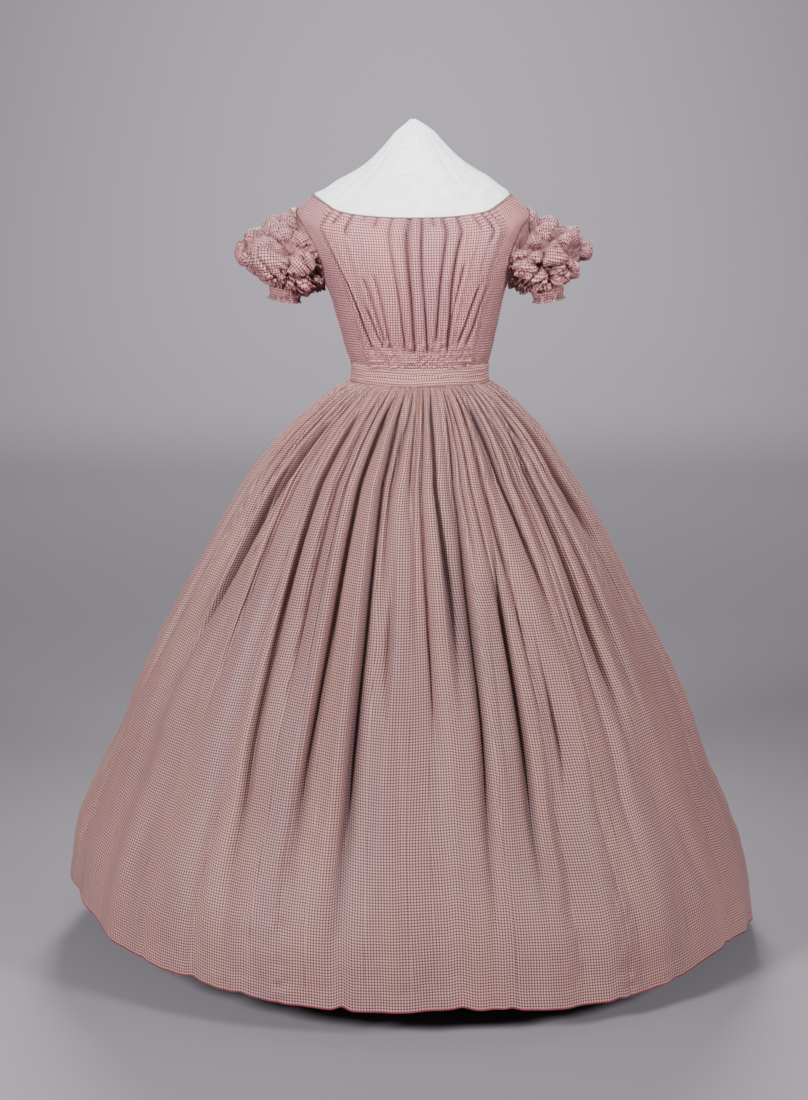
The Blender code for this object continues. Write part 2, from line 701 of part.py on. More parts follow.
def form_pole(made_of, collection):
    length = FORM_BOTTOM - BASE_TOP - 2 * SEAM_GAP
    bpy.ops.mesh.primitive_cylinder_add(
        vertices=20, radius=POLE_RADIUS, depth=length, location=(0, 0, (FORM_BOTTOM + BASE_TOP) / 2)
    )
    pole = bpy.context.object
    pole.name = "form_pole"
    pole.data.shade_smooth()
    pole.data.materials.append(made_of)
    for holder in pole.users_collection:
        holder.objects.unlink(pole)
    collection.objects.link(pole)


def form_base(made_of, collection):
    """Turned foot: a flat disc with a rounded rim and a collar for the pole."""
    profile = (
        (0.0, BASE_TOP), (0.022, BASE_TOP), (0.028, 0.054), (0.034, 0.026), (0.232, 0.018),
        (0.246, 0.012), (BASE_RADIUS, 0.005), (BASE_RADIUS - 0.003, 0.0), (0.0, 0.0),
    )
    mesh = bpy.data.meshes.new("form_base")
    edges = [(k, k + 1) for k in range(len(profile) - 1)]
    mesh.from_pydata([(r, 0.0, z) for r, z in profile], edges, [])
    mesh.materials.append(made_of)
    base = bpy.data.objects.new("form_base", mesh)
    collection.objects.link(base)
    screw = base.modifiers.new("turn", "SCREW")
    screw.steps = 40
    screw.render_steps = 40
    screw.use_merge_vertices = True
    screw.merge_threshold = 0.0001


def main():
    for old in list(bpy.data.objects):
        bpy.data.objects.remove(old)
    collection = bpy.data.collections.new("victorian_dress_on_form")
    bpy.context.scene.collection.children.link(collection)
    check = material("checked_cloth", CHECK_CLOTH, 0.55)
    band = material("checked_band", BAND_CLOTH, 0.55)
    piping = material("piping", PIPING, 0.7)
    crimson = material("crimson_braid", CRIMSON, 0.7)
    cover = material("white_cover", WHITE_COVER, 0.85)
    metal = material("dark_metal", DARK_METAL, 0.4, 1.0)
    skirt(check, collection)
    hem_braid(crimson, collection)
    bodice(check, collection)
    neck_binding(piping, collection)
    waistband(band, collection)
    sleeve(1, "right", check, collection)
    sleeve(-1, "left", check, collection)
    form_torso(cover, collection)
    form_pole(metal, collection)
    form_base(metal, collection)


main()
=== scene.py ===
"""Looks of the Victorian afternoon dress: its cloth, the covered form, floor, light, camera.

Metres, +Z is up and the front faces -Y.  Angles run round the dress in degrees: 0 is the
centre front, +90 the side at +X.  The outline tables are those of the solids.
"""

import math

import bpy
import numpy as np
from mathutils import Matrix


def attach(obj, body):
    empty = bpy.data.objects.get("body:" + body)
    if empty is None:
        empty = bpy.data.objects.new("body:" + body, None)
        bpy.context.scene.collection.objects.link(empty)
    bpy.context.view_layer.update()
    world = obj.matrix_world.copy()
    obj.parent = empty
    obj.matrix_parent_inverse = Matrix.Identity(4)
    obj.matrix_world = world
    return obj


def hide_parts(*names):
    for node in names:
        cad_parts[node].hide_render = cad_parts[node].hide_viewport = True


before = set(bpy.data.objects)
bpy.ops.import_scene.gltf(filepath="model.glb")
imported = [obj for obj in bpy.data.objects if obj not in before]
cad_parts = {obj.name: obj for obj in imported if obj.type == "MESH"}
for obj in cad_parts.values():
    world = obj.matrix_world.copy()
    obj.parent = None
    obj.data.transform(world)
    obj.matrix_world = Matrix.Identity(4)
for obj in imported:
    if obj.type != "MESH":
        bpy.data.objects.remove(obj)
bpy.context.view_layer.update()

# Driving dimensions
SEAM_GAP = 0.0004        # space along every seam
WALL = 0.0014            # thickness of the dress cloth as built
REST_GAP = 0.0007        # space between the dress and the form that carries it
WAIST_LOW = 0.9200       # lower edge of the waistband
WAIST_HIGH = 0.9500      # upper edge of the waistband
HEM_HEIGHT = 0.0500      # height of the hem that SKIRT_ROWS is drawn for
HEM_FOLD = 0.0225        # height of the cloth turned up inside the hem
HEM_PROUD = 0.0007       # how much the turned-up cloth stands out
CHECK_PITCH = 0.0043     # from one dark line of the check to the next

SKIRT_COLUMNS = 1920     # columns of points round the skirt
SEAM_TURN = 192          # seam columns to a full turn
SEAM_COLUMNS = (-40, -11, 19, 48, 77, 94, 123, 152)   # where the skirt's seams run
STITCHED_GATHERS = 192   # tiny gathers in the waist seam
BROAD_FOLDS = 32         # soft folds round the lower skirt
DEEPER = 1.2             # how much deeper the cloth folds than its solid
LEAN = 2.2               # how far the bottoms of its folds lean, for a lean of 1
CREASED_FROM = 0.0055    # depth of a fold from which its cloth is drawn darker, as painted shade
CREASED_SPAN = 0.0120    # and the further depth at which it is as dark as it gets

# Organ-pipe folds below the waistband: the heights at which they end, and the least and
# most that they go in and are wide, by half
PIPES = 80
PIPE_STRAY = 0.28        # how far each may stray from its even place, in spacings
PIPE_ENDS = (0.84, 0.78, 0.70, 0.60, 0.45)
PIPE_DEPTHS = (0.0045, 0.0145)
PIPE_HALF_WIDTHS = (0.0018, 0.0032)
PIPE_LEAN = 1.5          # how far those at the sides lean, in half widths

# Skirt outline by height: half width at the sides, depth to the front and to the back
SKIRT_ROWS = (
    # height, half_width, front, back
    (0.9196, 0.115, 0.0905, 0.0885),
    (0.908, 0.1365, 0.112, 0.111),
    (0.8949, 0.1545, 0.13, 0.13),
    (0.8691, 0.1835, 0.159, 0.161),
    (0.8481, 0.205, 0.181, 0.184),
    (0.8077, 0.2395, 0.216, 0.221),
    (0.7672, 0.269, 0.246, 0.253),
    (0.7267, 0.2955, 0.274, 0.283),
    (0.6453, 0.342, 0.322, 0.334),
    (0.5636, 0.383, 0.364, 0.378),
    (0.4818, 0.424, 0.404, 0.419),
    (0.3997, 0.461, 0.439, 0.455),
    (0.3171, 0.488, 0.467, 0.482),
    (0.2345, 0.5245, 0.5, 0.517),
    (0.151, 0.555, 0.529, 0.546),
    (0.05, 0.569, 0.542, 0.559),
)

# Rows of points up the skirt, close together where the cloth is finely puckered
SKIRT_STEPS = (
    # from height, to height, rows
    (0.05, 0.1, 14),
    (0.1, 0.3, 44),
    (0.3, 0.78, 56),
    (0.78, 0.89, 26),
    (0.89, 0.9196, 16),
)

HEM_ROWS = (
    # angle, height
    (-180, 0.045), (-130, 0.062), (-100, 0.09), (-76, 0.118), (-66, 0.105), (-57, 0.082),
    (-48, 0.072), (-33, 0.062), (-10, 0.049), (8, 0.052), (25, 0.039), (42, 0.041),
    (58, 0.057), (70, 0.05), (84, 0.036), (125, 0.036), (180, 0.045),
)

# Small notches where a fold draws the hem up
HEM_NOTCHES = (
    # angle, rise, half width in degrees
    (-58, 0.004, 1.5), (-47, 0.003, 1.0), (-36, 0.004, 1.2), (-27, 0.002, 1.0),
    (-10.5, 0.007, 0.9), (7.5, 0.006, 1.5), (15, 0.003, 1.0), (33, 0.003, 1.0),
    (45, 0.003, 1.4), (61, 0.004, 1.2), (-92, 0.004, 1.5), (104, 0.005, 1.4),
    (128, 0.004, 1.2), (151, 0.005, 1.5), (170, 0.004, 1.0), (-163, 0.005, 1.4),
    (-141, 0.004, 1.2), (-118, 0.005, 1.5),
)

# Size of the waves round the skirt by height
WAVE_ROWS = (
    # height, stitched gathers, pipes, broad folds
    (0.9196, 0.0018, 0.1, 0.0),
    (0.909, 0.0022, 0.9, 0.0),
    (0.896, 0.0008, 1.25, 0.0004),
    (0.846, 0.0, 1.2, 0.0018),
    (0.77, 0.0, 1.0, 0.003),
    (0.64, 0.0, 0.7, 0.0034),
    (0.45, 0.0, 0.25, 0.0032),
    (0.24, 0.0, 0.0, 0.0026),
    (0.05, 0.0, 0.0, 0.0022),
)

# Half width of the crease at the bottom of a fold, as a share of the fold's, by height
CREASE_WIDTHS = (
    (0.1, 0.9), (0.3, 0.55), (0.5, 0.38), (0.7, 0.32), (0.85, 0.42), (0.92, 0.5),
)

# The skirt's folds: where each starts and ends, how far its valley goes in and half its
# width in degrees, and which way its bottom leans under the next fold
FOLDS = (
    # top_angle, low_angle, top_height, low_height, depth, half_width, lean
    # deep folds
    (-80, -77, 0.91, 0.42, 0.014, 2.5, -0.3),
    (-72, -67, 0.58, 0.22, 0.009, 2.2, 0.3),
    (-57, -63, 0.91, 0.68, 0.016, 2.4, -0.4),
    (-50, -60, 0.9, 0.5, 0.022, 2.5, -0.5),
    (-35, -31, 0.92, 0.18, 0.018, 2.3, -0.5),
    (-18, -21, 0.915, 0.2, 0.018, 2.2, -0.5),
    (-10, -12, 0.915, 0.14, 0.021, 2.2, -0.4),
    (-4, -5, 0.74, 0.48, 0.013, 1.8, 0.2),
    (-1, 0, 0.93, 0.74, 0.014, 1.9, 0.3),
    (8, 10, 0.915, 0.52, 0.02, 2.1, -0.4),
    (17, 13, 0.92, 0.14, 0.017, 2.1, 0.4),
    (24, 22, 0.76, 0.22, 0.022, 2.1, 0.3),
    (31, 30, 0.66, 0.34, 0.015, 2.0, -0.3),
    (33, 37, 0.93, 0.6, 0.02, 2.2, 0.5),
    (49, 47, 0.88, 0.44, 0.022, 2.4, 0.4),
    (58, 62, 0.76, 0.6, 0.012, 2.0, 0.4),
    (66, 69, 0.92, 0.66, 0.018, 2.3, 0.5),
    (66, 63, 0.42, 0.18, 0.011, 2.0, 0.3),
    (80, 77, 0.9, 0.38, 0.014, 2.5, -0.3),
    (93, 95, 0.91, 0.28, 0.018, 2.5, 0.4),
    (105, 103, 0.86, 0.45, 0.015, 2.3, -0.4),
    (117, 119, 0.91, 0.22, 0.024, 2.5, 0.5),
    (131, 129, 0.9, 0.4, 0.018, 2.3, -0.4),
    (143, 146, 0.84, 0.2, 0.022, 2.5, -0.4),
    (156, 154, 0.91, 0.36, 0.019, 2.3, 0.4),
    (167, 169, 0.88, 0.24, 0.022, 2.4, -0.5),
    (180, 179, 0.91, 0.42, 0.017, 2.3, 0.3),
    (192, 195, 0.89, 0.18, 0.024, 2.5, -0.4),
    (206, 204, 0.85, 0.42, 0.016, 2.2, 0.5),
    (217, 220, 0.91, 0.26, 0.022, 2.5, -0.4),
    (231, 229, 0.9, 0.38, 0.018, 2.4, 0.4),
    (244, 247, 0.86, 0.22, 0.021, 2.5, -0.5),
    (257, 255, 0.91, 0.4, 0.017, 2.5, 0.4),
    (269, 272, 0.89, 0.3, 0.016, 2.5, -0.3),
    # shallow creases between them
    (-43, -46, 0.91, 0.46, 0.01, 1.9, -0.4),
    (-40, -38, 0.52, 0.16, 0.005, 2.0, 0.2),
    (-27, -26, 0.915, 0.42, 0.011, 1.8, -0.4),
    (-24, -25, 0.4, 0.09, 0.004, 1.6, -0.2),
    (-6, -7, 0.91, 0.62, 0.01, 1.5, -0.3),
    (-3, -1, 0.58, 0.12, 0.006, 2.0, -0.2),
    (3, 5, 0.91, 0.4, 0.009, 1.6, 0.3),
    (5, 7, 0.36, 0.08, 0.004, 2.0, -0.2),
    (19, 18, 0.66, 0.4, 0.006, 1.6, 0.2),
    (26, 27, 0.915, 0.58, 0.011, 1.8, 0.4),
    (26, 28, 0.48, 0.1, 0.005, 2.0, -0.3),
    (43, 42, 0.915, 0.3, 0.011, 2.0, 0.4),
    (54, 54, 0.92, 0.5, 0.012, 2.0, 0.4),
    (53, 56, 0.44, 0.1, 0.005, 2.2, -0.3),
    (72, 71, 0.6, 0.2, 0.006, 2.2, 0.3),
    (-66, -71, 0.915, 0.6, 0.012, 2.0, -0.4),
    (-54, -52, 0.42, 0.12, 0.005, 2.2, -0.3),
    (-86, -85, 0.6, 0.15, 0.007, 2.4, 0.3),
)

# Soft dents in the skirt; the last two are broad and draw in its side at -X
DENTS = (
    # angle, height, half width in degrees, half height, depth
    (50, 0.15, 2.6, 0.045, 0.006),
    (55, 0.235, 2.2, 0.05, 0.004),
    (70, 0.13, 3.0, 0.04, 0.005),
    (26, 0.19, 2.0, 0.03, 0.004),
    (-60, 0.15, 3.0, 0.045, 0.005),
    (-44, 0.17, 2.6, 0.03, 0.003),
    (-74, 0.2, 3.0, 0.06, 0.006),
    (-120, 0.18, 4.0, 0.05, 0.006),
    (115, 0.16, 4.0, 0.05, 0.006),
    (160, 0.17, 3.5, 0.045, 0.005),
    (-92, 0.66, 36, 0.16, 0.011),
    (-92, 0.38, 36, 0.14, 0.011),
)

# Bodice outline, level by level from the waist seam up to the neckline
BODICE_ROWS = (
    # side, front and back height, half width, depth to the front and to the back
    (0.9504, 0.9504, 0.9504, 0.1105, 0.088, 0.085),
    (0.97, 0.969, 0.97, 0.1178, 0.092, 0.088),
    (0.995, 0.992, 0.995, 0.1238, 0.0975, 0.093),
    (1.025, 1.02, 1.023, 0.1315, 0.105, 0.099),
    (1.055, 1.048, 1.051, 0.1385, 0.111, 0.103),
    (1.0765, 1.0735, 1.0755, 0.1465, 0.1145, 0.105),
    (1.106, 1.099, 1.101, 0.158, 0.116, 0.105),
    (1.136, 1.123, 1.126, 0.17, 0.115, 0.104),
    (1.166, 1.145, 1.15, 0.182, 0.111, 0.101),
    (1.186, 1.16, 1.166, 0.188, 0.1065, 0.098),
    (1.199, 1.17, 1.176, 0.18, 0.103, 0.0955),
    (1.2095, 1.178, 1.184, 0.169, 0.1, 0.093),
    (1.218, 1.184, 1.191, 0.159, 0.0975, 0.09),
)
NECK_LEVEL = len(BODICE_ROWS) - 1

# How the neckline rises from the middle to the shoulder: angle from the front or back
# and share of the rise; the outer rows let it run level at the middle and the shoulder
NECK_RISE = (
    (-25, 0.06), (0, 0.0), (25, 0.06), (42, 0.2), (50, 0.32), (58, 0.55), (66, 0.75),
    (76, 0.92), (90, 1.0), (104, 0.92),
)

# Edges of the bodice's pieces: level and angle
FRONT_SEAM = ((0, 50.0), (6, 50.5), (9, 52.0), (12, 57.0))
LEFT_SEAM = [(level, -angle) for level, angle in FRONT_SEAM]
CENTRE_BACK = ((0, 180), (12, 180))
SIDE_EDGE = (
    (0.0, 90), (1.5, 90), (3.0, 90), (4.0, 90), (5.0, 90), (5.5, 75), (6.0, 69.5),
    (7.0, 66.5), (8.0, 69), (8.6, 74), (9.2, 83), (9.8, 102), (11.0, 108), (12.0, 112),
)
BACK_EDGE = (
    (0.0, 90), (1.5, 90), (3.0, 90), (4.0, 90), (5.0, 90), (5.5, 105), (6.0, 110.5),
    (7.0, 113.5), (8.0, 113), (9.0, 109), (9.8, 102), (11.0, 108), (12.0, 112),
)
ARMHOLE_LEVELS = (5.0, 9.8)

# Long folds of the gathered front: the angle of each at the neckline, at the bust and
# above the waist, the levels it runs between, its depth and half its width in degrees
FRONT_FOLDS = (
    # neck_angle, bust_angle, low_angle, top_level, low_level, depth, half_width
    (-53, -48, -38, 12, 1.2, 0.007, 1.6),
    (-45, -43, -41, 12.4, 9.4, 0.005, 1.7),
    (-36.3, -33.5, -32, 12.4, 8.2, 0.005, 1.7),
    (-41, -40, -28, 4.2, 1.2, 0.0045, 1.5),
    (-34, -33, -25, 6, 1.2, 0.0035, 1.5),
    (-28, -25, -23.6, 12.4, 10.6, 0.0036, 1.5),
    (-25, -25, -21.5, 6.2, 1, 0.0035, 1.5),
    (-20.5, -19.5, -17, 12.4, 9.6, 0.0042, 1.5),
    (-11.8, -12, -10.5, 12.4, 0.8, 0.004, 1.4),
    (-1.8, -4, -3.5, 12.4, 0.8, 0.008, 1.5),
    (4.9, 3.6, 6.2, 12.4, 0.8, 0.0055, 1.4),
    (11, 10, 9, 12.4, 9.8, 0.0038, 1.4),
    (17, 14.8, 12, 12.4, 1.6, 0.0055, 1.4),
    (25.7, 22, 21.6, 12.4, 0.8, 0.006, 1.4),
    (28, 27.2, 20, 6.8, 1.8, 0.004, 1.4),
    (36, 34, 27, 12.4, 9, 0.0038, 1.5),
    (43, 40, 30, 12.4, 7.6, 0.0046, 1.5),
    (48.8, 45, 29, 12.4, 9.4, 0.0038, 1.4),
    (45, 43, 29, 5.4, 1.2, 0.0045, 1.5),
    (52, 51, 37, 5.6, 1.2, 0.0045, 1.6),
)
FRONT_DEEPER = 1.5        # how much deeper the front folds than the table says
FRONT_FULLNESS = 0.0032   # how far the gathered cloth stands off the form between folds
SHIRRED_LEVELS = (0.25, 0.75, 1.3, 2.1)   # rows of gathering thread above the waist

# Puff sleeve at +X, ring by ring beyond the armhole, which is row 0: each ring's lowest
# point by the body, its outermost point and half its depth
SLEEVE_ROWS = (
    # inner_x, inner_z, outer_x, outer_z, half_depth
    (0.1545, 1.072, 0.1975, 1.187, 0.056),
    (0.16, 1.0695, 0.22, 1.178, 0.0635),
    (0.165, 1.0675, 0.252, 1.164, 0.066),
    (0.17, 1.066, 0.277, 1.144, 0.065),
    (0.1745, 1.065, 0.274, 1.115, 0.061),
    (0.1785, 1.0645, 0.255, 1.092, 0.055),
    (0.182, 1.065, 0.237, 1.075, 0.049),
)
BAND_ROW = len(SLEEVE_ROWS)   # the row where the sleeve's band begins
SLEEVE_COLUMNS = 240      # points round a sleeve
SLEEVE_STEPS = 110        # rows of points from the armhole to the band
SLEEVE_BAND_DEPTH = 0.021
PUFF_CREASE = 0.0085      # depth of the crease between two puffs
PUFF_GROUND = 0.003       # how far the cloth between the puffs lies below the form
PUFF_SETTLE = 0.006       # how far all of it has settled into the form
TOP_SETTLE = 0.0065       # how much further it has at the top, by the shoulder
CUFF_TAPER = 0.14         # how much narrower the cloth is drawn at the cuff than its solid
CUFF_ROW = 5.6            # the row from which it narrows
CHECK_SHIFT = 0.0137

# What differs between the two sleeves where the table of puffs doesn't say it
SLEEVE_LOOKS = {
    # seed and radius of the hidden puffs, seed of the rays, size and seed of the crumples
    "left": (61, 0.024, 82, 1.25, 88),
    "right": (62, 0.018, 81, 0.8, 83),
}

# The crumples on the puffs, coarse to fine: degrees across one, how many to a row, depth
CRUMPLE_SIZES = ((26, 0.8, 0.0042), (14, 1.5, 0.003), (8, 2.6, 0.0015))

# The rumpled puffs that show from the front, each a soft dome of cloth; turn runs round
# the sleeve from its lowest point by the body over the front, row from armhole to band
PUFFS = {
    "left": (
        # turn, row, radius, height, twist of the check in degrees
        (106, 3.9, 0.04, 0.012, 50),
        (168, 3.2, 0.019, 0.009, 28),
        (139, 1.9, 0.022, 0.009, 8),
        (74, 1.6, 0.027, 0.011, -20),
        (100, 6.2, 0.026, 0.007, -14),
        (148, 4.8, 0.015, 0.007, 40),
        (112, 0.65, 0.017, 0.007, -14),
        (44, 3.4, 0.022, 0.009, -50),
        (62, 5.4, 0.02, 0.008, 34),
    ),
    "right": (
        (103, 3.3, 0.023, 0.011, 32),
        (100, 4.6, 0.018, 0.009, 16),
        (141, 1.95, 0.017, 0.011, 24),
        (165, 3.25, 0.018, 0.01, -36),
        (176, 4.6, 0.016, 0.01, 48),
        (116, 1.35, 0.014, 0.008, -44),
        (64, 1.75, 0.022, 0.011, 30),
        (66, 6.6, 0.017, 0.007, -20),
        (116, 4.6, 0.014, 0.009, 62),
        (103, 5.7, 0.015, 0.008, -52),
        (80, 0.6, 0.014, 0.008, 20),
        (90, 2.1, 0.012, 0.009, -66),
        (60, 3.6, 0.015, 0.009, 40),
        (140, 3.0, 0.011, 0.008, 10),
    ),
}

# Folds of the waistband: share of its height, how proud it stands, how far it wanders
BAND_FOLDS = (
    (0.0, 0.0006, 0.0), (0.2, 0.002, 0.05), (0.33, 0.0007, 0.09), (0.47, 0.0016, 0.1),
    (0.6, 0.0004, 0.11), (0.76, 0.0019, 0.07), (0.9, 0.0012, 0.03), (1.0, 0.0006, 0.0),
)
BAND_PROUD = 0.7          # how proud the folds are drawn, as a share of the table's
BAND_WANDER = 1.6         # how far they wander, likewise
BAND_START = 70           # angle at which the band's hidden end starts
BAND_LAP = 10             # degrees by which its outer end laps over that end
BAND_LIFT = WALL + 2 * SEAM_GAP   # how far it stands out there

# Hem braid and neck cord: half height and half depth of their section
BRAID_SECTION = (0.0014, 0.0011)
CORD_SECTION = (0.0014, 0.0013)
TRIM_BEYOND = 0.0012      # how far the middle of either runs beyond the edge of the cloth
BRAID_INSET = 0.0006      # how far the braid's lies in from the cloth's outer face

# Sideways place of the dress's middle by height
SIDE_SHIFT = (
    (0.0, -0.003), (0.3, -0.007), (0.78, -0.008), (0.92, 0.0075), (0.95, 0.008),
    (1.06, 0.004), (1.14, -0.001), (1.22, -0.004), (1.34, -0.003),
)

# Dress form below the waist and above the neckline
FORM_BOTTOM = 0.7
HIP_ROWS = (
    # height, half width, depth to the front and to the back
    (0.7, 0.146, 0.112, 0.118),
    (0.76, 0.16, 0.122, 0.13),
    (0.82, 0.152, 0.116, 0.122),
    (0.872, 0.126, 0.098, 0.1),
    (0.904, 0.106, 0.084, 0.084),
    (0.92, 0.104, 0.0815, 0.0795),
    (0.936, 0.1084, 0.0859, 0.0829),
)
FORM_INSETS = (
    # bodice level, how far the form lies inside it
    (0, WALL + REST_GAP), (1.2, 0.004), (3, 0.006), (5, 0.007), (7, 0.007), (9, 0.006),
    (10.5, 0.004), (12, WALL + REST_GAP),
)
NECK_ROWS = (
    # side and front height, half width, depth to the front and to the back
    (1.224, 1.197, 0.1525, 0.091, 0.0835),
    (1.233, 1.209, 0.14, 0.086, 0.0795),
    (1.2474, 1.228, 0.121, 0.0775, 0.0725),
    (1.26, 1.244, 0.0985, 0.068, 0.065),
    (1.2757, 1.265, 0.0755, 0.056, 0.055),
    (1.3, 1.295, 0.05, 0.04, 0.04),
    (1.319, 1.317, 0.0325, 0.027, 0.027),
    (1.331, 1.33, 0.015, 0.014, 0.014),
    (1.337, 1.3368, 0.004, 0.004, 0.004),
)

# Creases of the white cover, running down from its point
COVER_CREASES = (
    # top_angle, low_angle, depth, half_width
    (-46, -47, 0.0024, 3.0), (-60, -58, 0.0021, 2.5), (-30, -27, 0.001, 3.0),
    (6, 10, 0.0014, 2.5), (22, 20, 0.001, 3.0), (48, 37, 0.0023, 2.2),
    (66, 62, 0.0012, 3.0), (112, 120, 0.0018, 3.0), (150, 145, 0.0015, 3.0),
    (185, 178, 0.0018, 3.0), (215, 222, 0.0015, 3.0), (250, 244, 0.0018, 3.0),
)

COVER_FLATTER = 0.0075    # how much further in the cover lies at the side at -X

# Colours, linear: the threads of the check, its band, the trims, the form, the setting
CREAM = (0.53, 0.285, 0.265)
RED_BROWN = (0.060, 0.010, 0.018)
GREY_BROWN = (0.026, 0.015, 0.017)
PINKER = (1.11, 0.94, 1.05)   # bodice and sleeves, less faded than the skirt
PALER = (1.22, 1.13, 1.08)    # waistband
PAINTED_CREASE_SHADE = (0.52, 0.56, 0.58)   # painted shade: how much darker the cloth is drawn deep in its creases, against the rest
PIPING = (0.16, 0.13, 0.115)
CRIMSON = (0.22, 0.03, 0.045)
WHITE_COVER = (0.93, 0.92, 0.91)
DARK_METAL = (0.025, 0.025, 0.030)
FLOOR = (0.29, 0.27, 0.30)

# Soft round lights, with the width of their beam in degrees
LIGHTS = (
    # name, place, target, size, power, spread
    ("key", (-2.35, -2.75, 1.9), (0, 0, 0.7), 0.9, 180, 180),
    ("fill", (2.8, -2.3, 1.9), (0, 0, 0.7), 0.9, 120, 180),
    ("wall_wash", (0.0, 6.5, 4.2), (0, 10.4, 1.4), 2.0, 225, 150),
    ("floor_wash", (0.0, 4.6, 4.6), (0, 5.6, 0.0), 2.2, 120, 140),
    ("back", (0.0, 3.0, 3.0), (0, 0, 0.8), 1.2, 18, 50),
    ("crown", (0.0, -1.2, 2.3), (0, 0, 1.32), 0.4, 4.5, 50),
)

# Camera as the photograph was taken, for an image of 808 x 1100
IMAGE_HEIGHT = 1100
FOCAL_PIXELS = 2480
CAMERA_PLACE = (-0.017, -4.0, 1.39)
CAMERA_TILT = 10.62      # degrees below the horizon


# Numbers

def cubic(t, low, low_slope, high, high_slope):
    """Smooth value between low, at t = 0, and high, at t = 1."""
    return (
        (2 * t**3 - 3 * t**2 + 1) * low
        + (t**3 - 2 * t**2 + t) * low_slope
        + (3 * t**2 - 2 * t**3) * high
        + (t**3 - t**2) * high_slope
    )


def curve_through(x, points, column=1):
    """Smooth value at x through a table whose first column rises."""
    table = np.asarray([(row[0], row[column]) for row in points], dtype=float)
    xs, ys = table[:, 0], table[:, 1]
    slopes = np.gradient(ys, xs)
    x = np.clip(np.asarray(x, dtype=float), xs[0], xs[-1])
    i = np.clip(np.searchsorted(xs, x, side="right") - 1, 0, len(xs) - 2)
    span = xs[i + 1] - xs[i]
    t = (x - xs[i]) / span
    return cubic(t, ys[i], span * slopes[i], ys[i + 1], span * slopes[i + 1])


def curves_through(x, points):
    """Smooth values at x through the columns after the first, which falls."""
    flipped = [(-row[0], *row[1:]) for row in points]
    return [curve_through(-x, flipped, k) for k in range(1, len(points[0]))]


def smooth_rings(rings, row):
    """Rings at any rows, on smooth curves through a stack of rings."""
    low = np.clip(row.astype(int), 0, len(rings) - 2)
    slope = np.gradient(rings, axis=0)
    t = (row - low)[:, None, None]
    return cubic(t, rings[low], slope[low], rings[low + 1], slope[low + 1])


def straight_through(x, points):
    """Value at x on straight lines through a table of pairs whose first column rises."""
    return np.interp(x, *zip(*points))


def smooth_step(x):
    x = np.clip(x, 0.0, 1.0)
    return x * x * (3 - 2 * x)


def bump(x):
    """Bell curve: 1 at 0, dying out past 1 on either side."""
    return np.exp(-(x**2))


def turned(angle):
    """The angle brought into -180 to 180 degrees."""
    return (np.asarray(angle, dtype=float) + 180) % 360 - 180


def unit(vectors):
    return vectors / np.maximum(np.linalg.norm(vectors, axis=-1, keepdims=True), 1e-12)


def level_out(points):
    """Level directions from the middle axis out to points."""
    return unit(points * [1, 1, 0])


def closed_round(grid):
    """A grid of values round a tube with its first column once more at the end."""
    return np.concatenate([grid, grid[:, :1]], axis=1)


def twisted(x, y, degrees):
    t = math.radians(degrees)
    return x * math.cos(t) - y * math.sin(t), x * math.sin(t) + y * math.cos(t)


def side_shift(height):
    """Sideways place of the dress's middle at a height."""
    return straight_through(height, SIDE_SHIFT)


def ring_points(angle, half_width, front, back, height, shift=None):
    """Points of an oval ring that is deeper or shallower to the front than to the back,
    round the dress's middle at that height unless a shift is given."""
    a = np.radians(angle)
    x, y = half_width * np.sin(a), -np.where(np.cos(a) > 0, front, back) * np.cos(a)
    height = height + 0 * x
    shift = side_shift(height) if shift is None else shift
    return np.stack([x + shift, y, height], axis=-1)


def grid_normals(points, closed=False):
    """Outward normals of a grid whose columns run counter-clockwise and rows run up."""
    if closed:
        across = np.roll(points, -1, axis=1) - np.roll(points, 1, axis=1)
    else:
        across = np.gradient(points, axis=1)
    return unit(np.cross(across, np.gradient(points, axis=0)))


def soft_noise(x, y, seed, period=64):
    """Smooth values from -1 to 1 over a plane; they repeat after period cells along x."""
    table = np.random.default_rng(seed).uniform(-1, 1, (64, period))
    x, y = np.broadcast_arrays(np.asarray(x, float), np.asarray(y, float))
    column, row = np.floor(x).astype(int), np.floor(y).astype(int)
    across, up = smooth_step(x - column), smooth_step(y - row)

    def corner(i, j):
        return table[(row + j) % 64, (column + i) % period]

    low = corner(0, 0) * (1 - across) + corner(1, 0) * across
    high = corner(0, 1) * (1 - across) + corner(1, 1) * across
    return low * (1 - up) + high * up


def ring_noise(angle, cells, y, seed):
    """Smooth values from -1 to 1 that close round the dress, with cells to a full turn."""
    return soft_noise(angle / 360 * cells, y, seed, cells)


def arc_length(points, axis):
    """Length run along one axis of a grid of points, starting at zero."""
    steps = np.linalg.norm(np.diff(points, axis=axis), axis=-1)
    start = np.zeros_like(np.take(steps, [0], axis=axis))
    return np.concatenate([start, np.cumsum(steps, axis=axis)], axis=axis)


# Meshes and pieces

def corner_values(u, v):
    """The four corners' cloth coordinates of every face of a grid."""
    grid = np.stack([u, v], axis=-1)
    return np.stack([grid[:-1, :-1], grid[:-1, 1:], grid[1:, 1:], grid[1:, :-1]], axis=2)


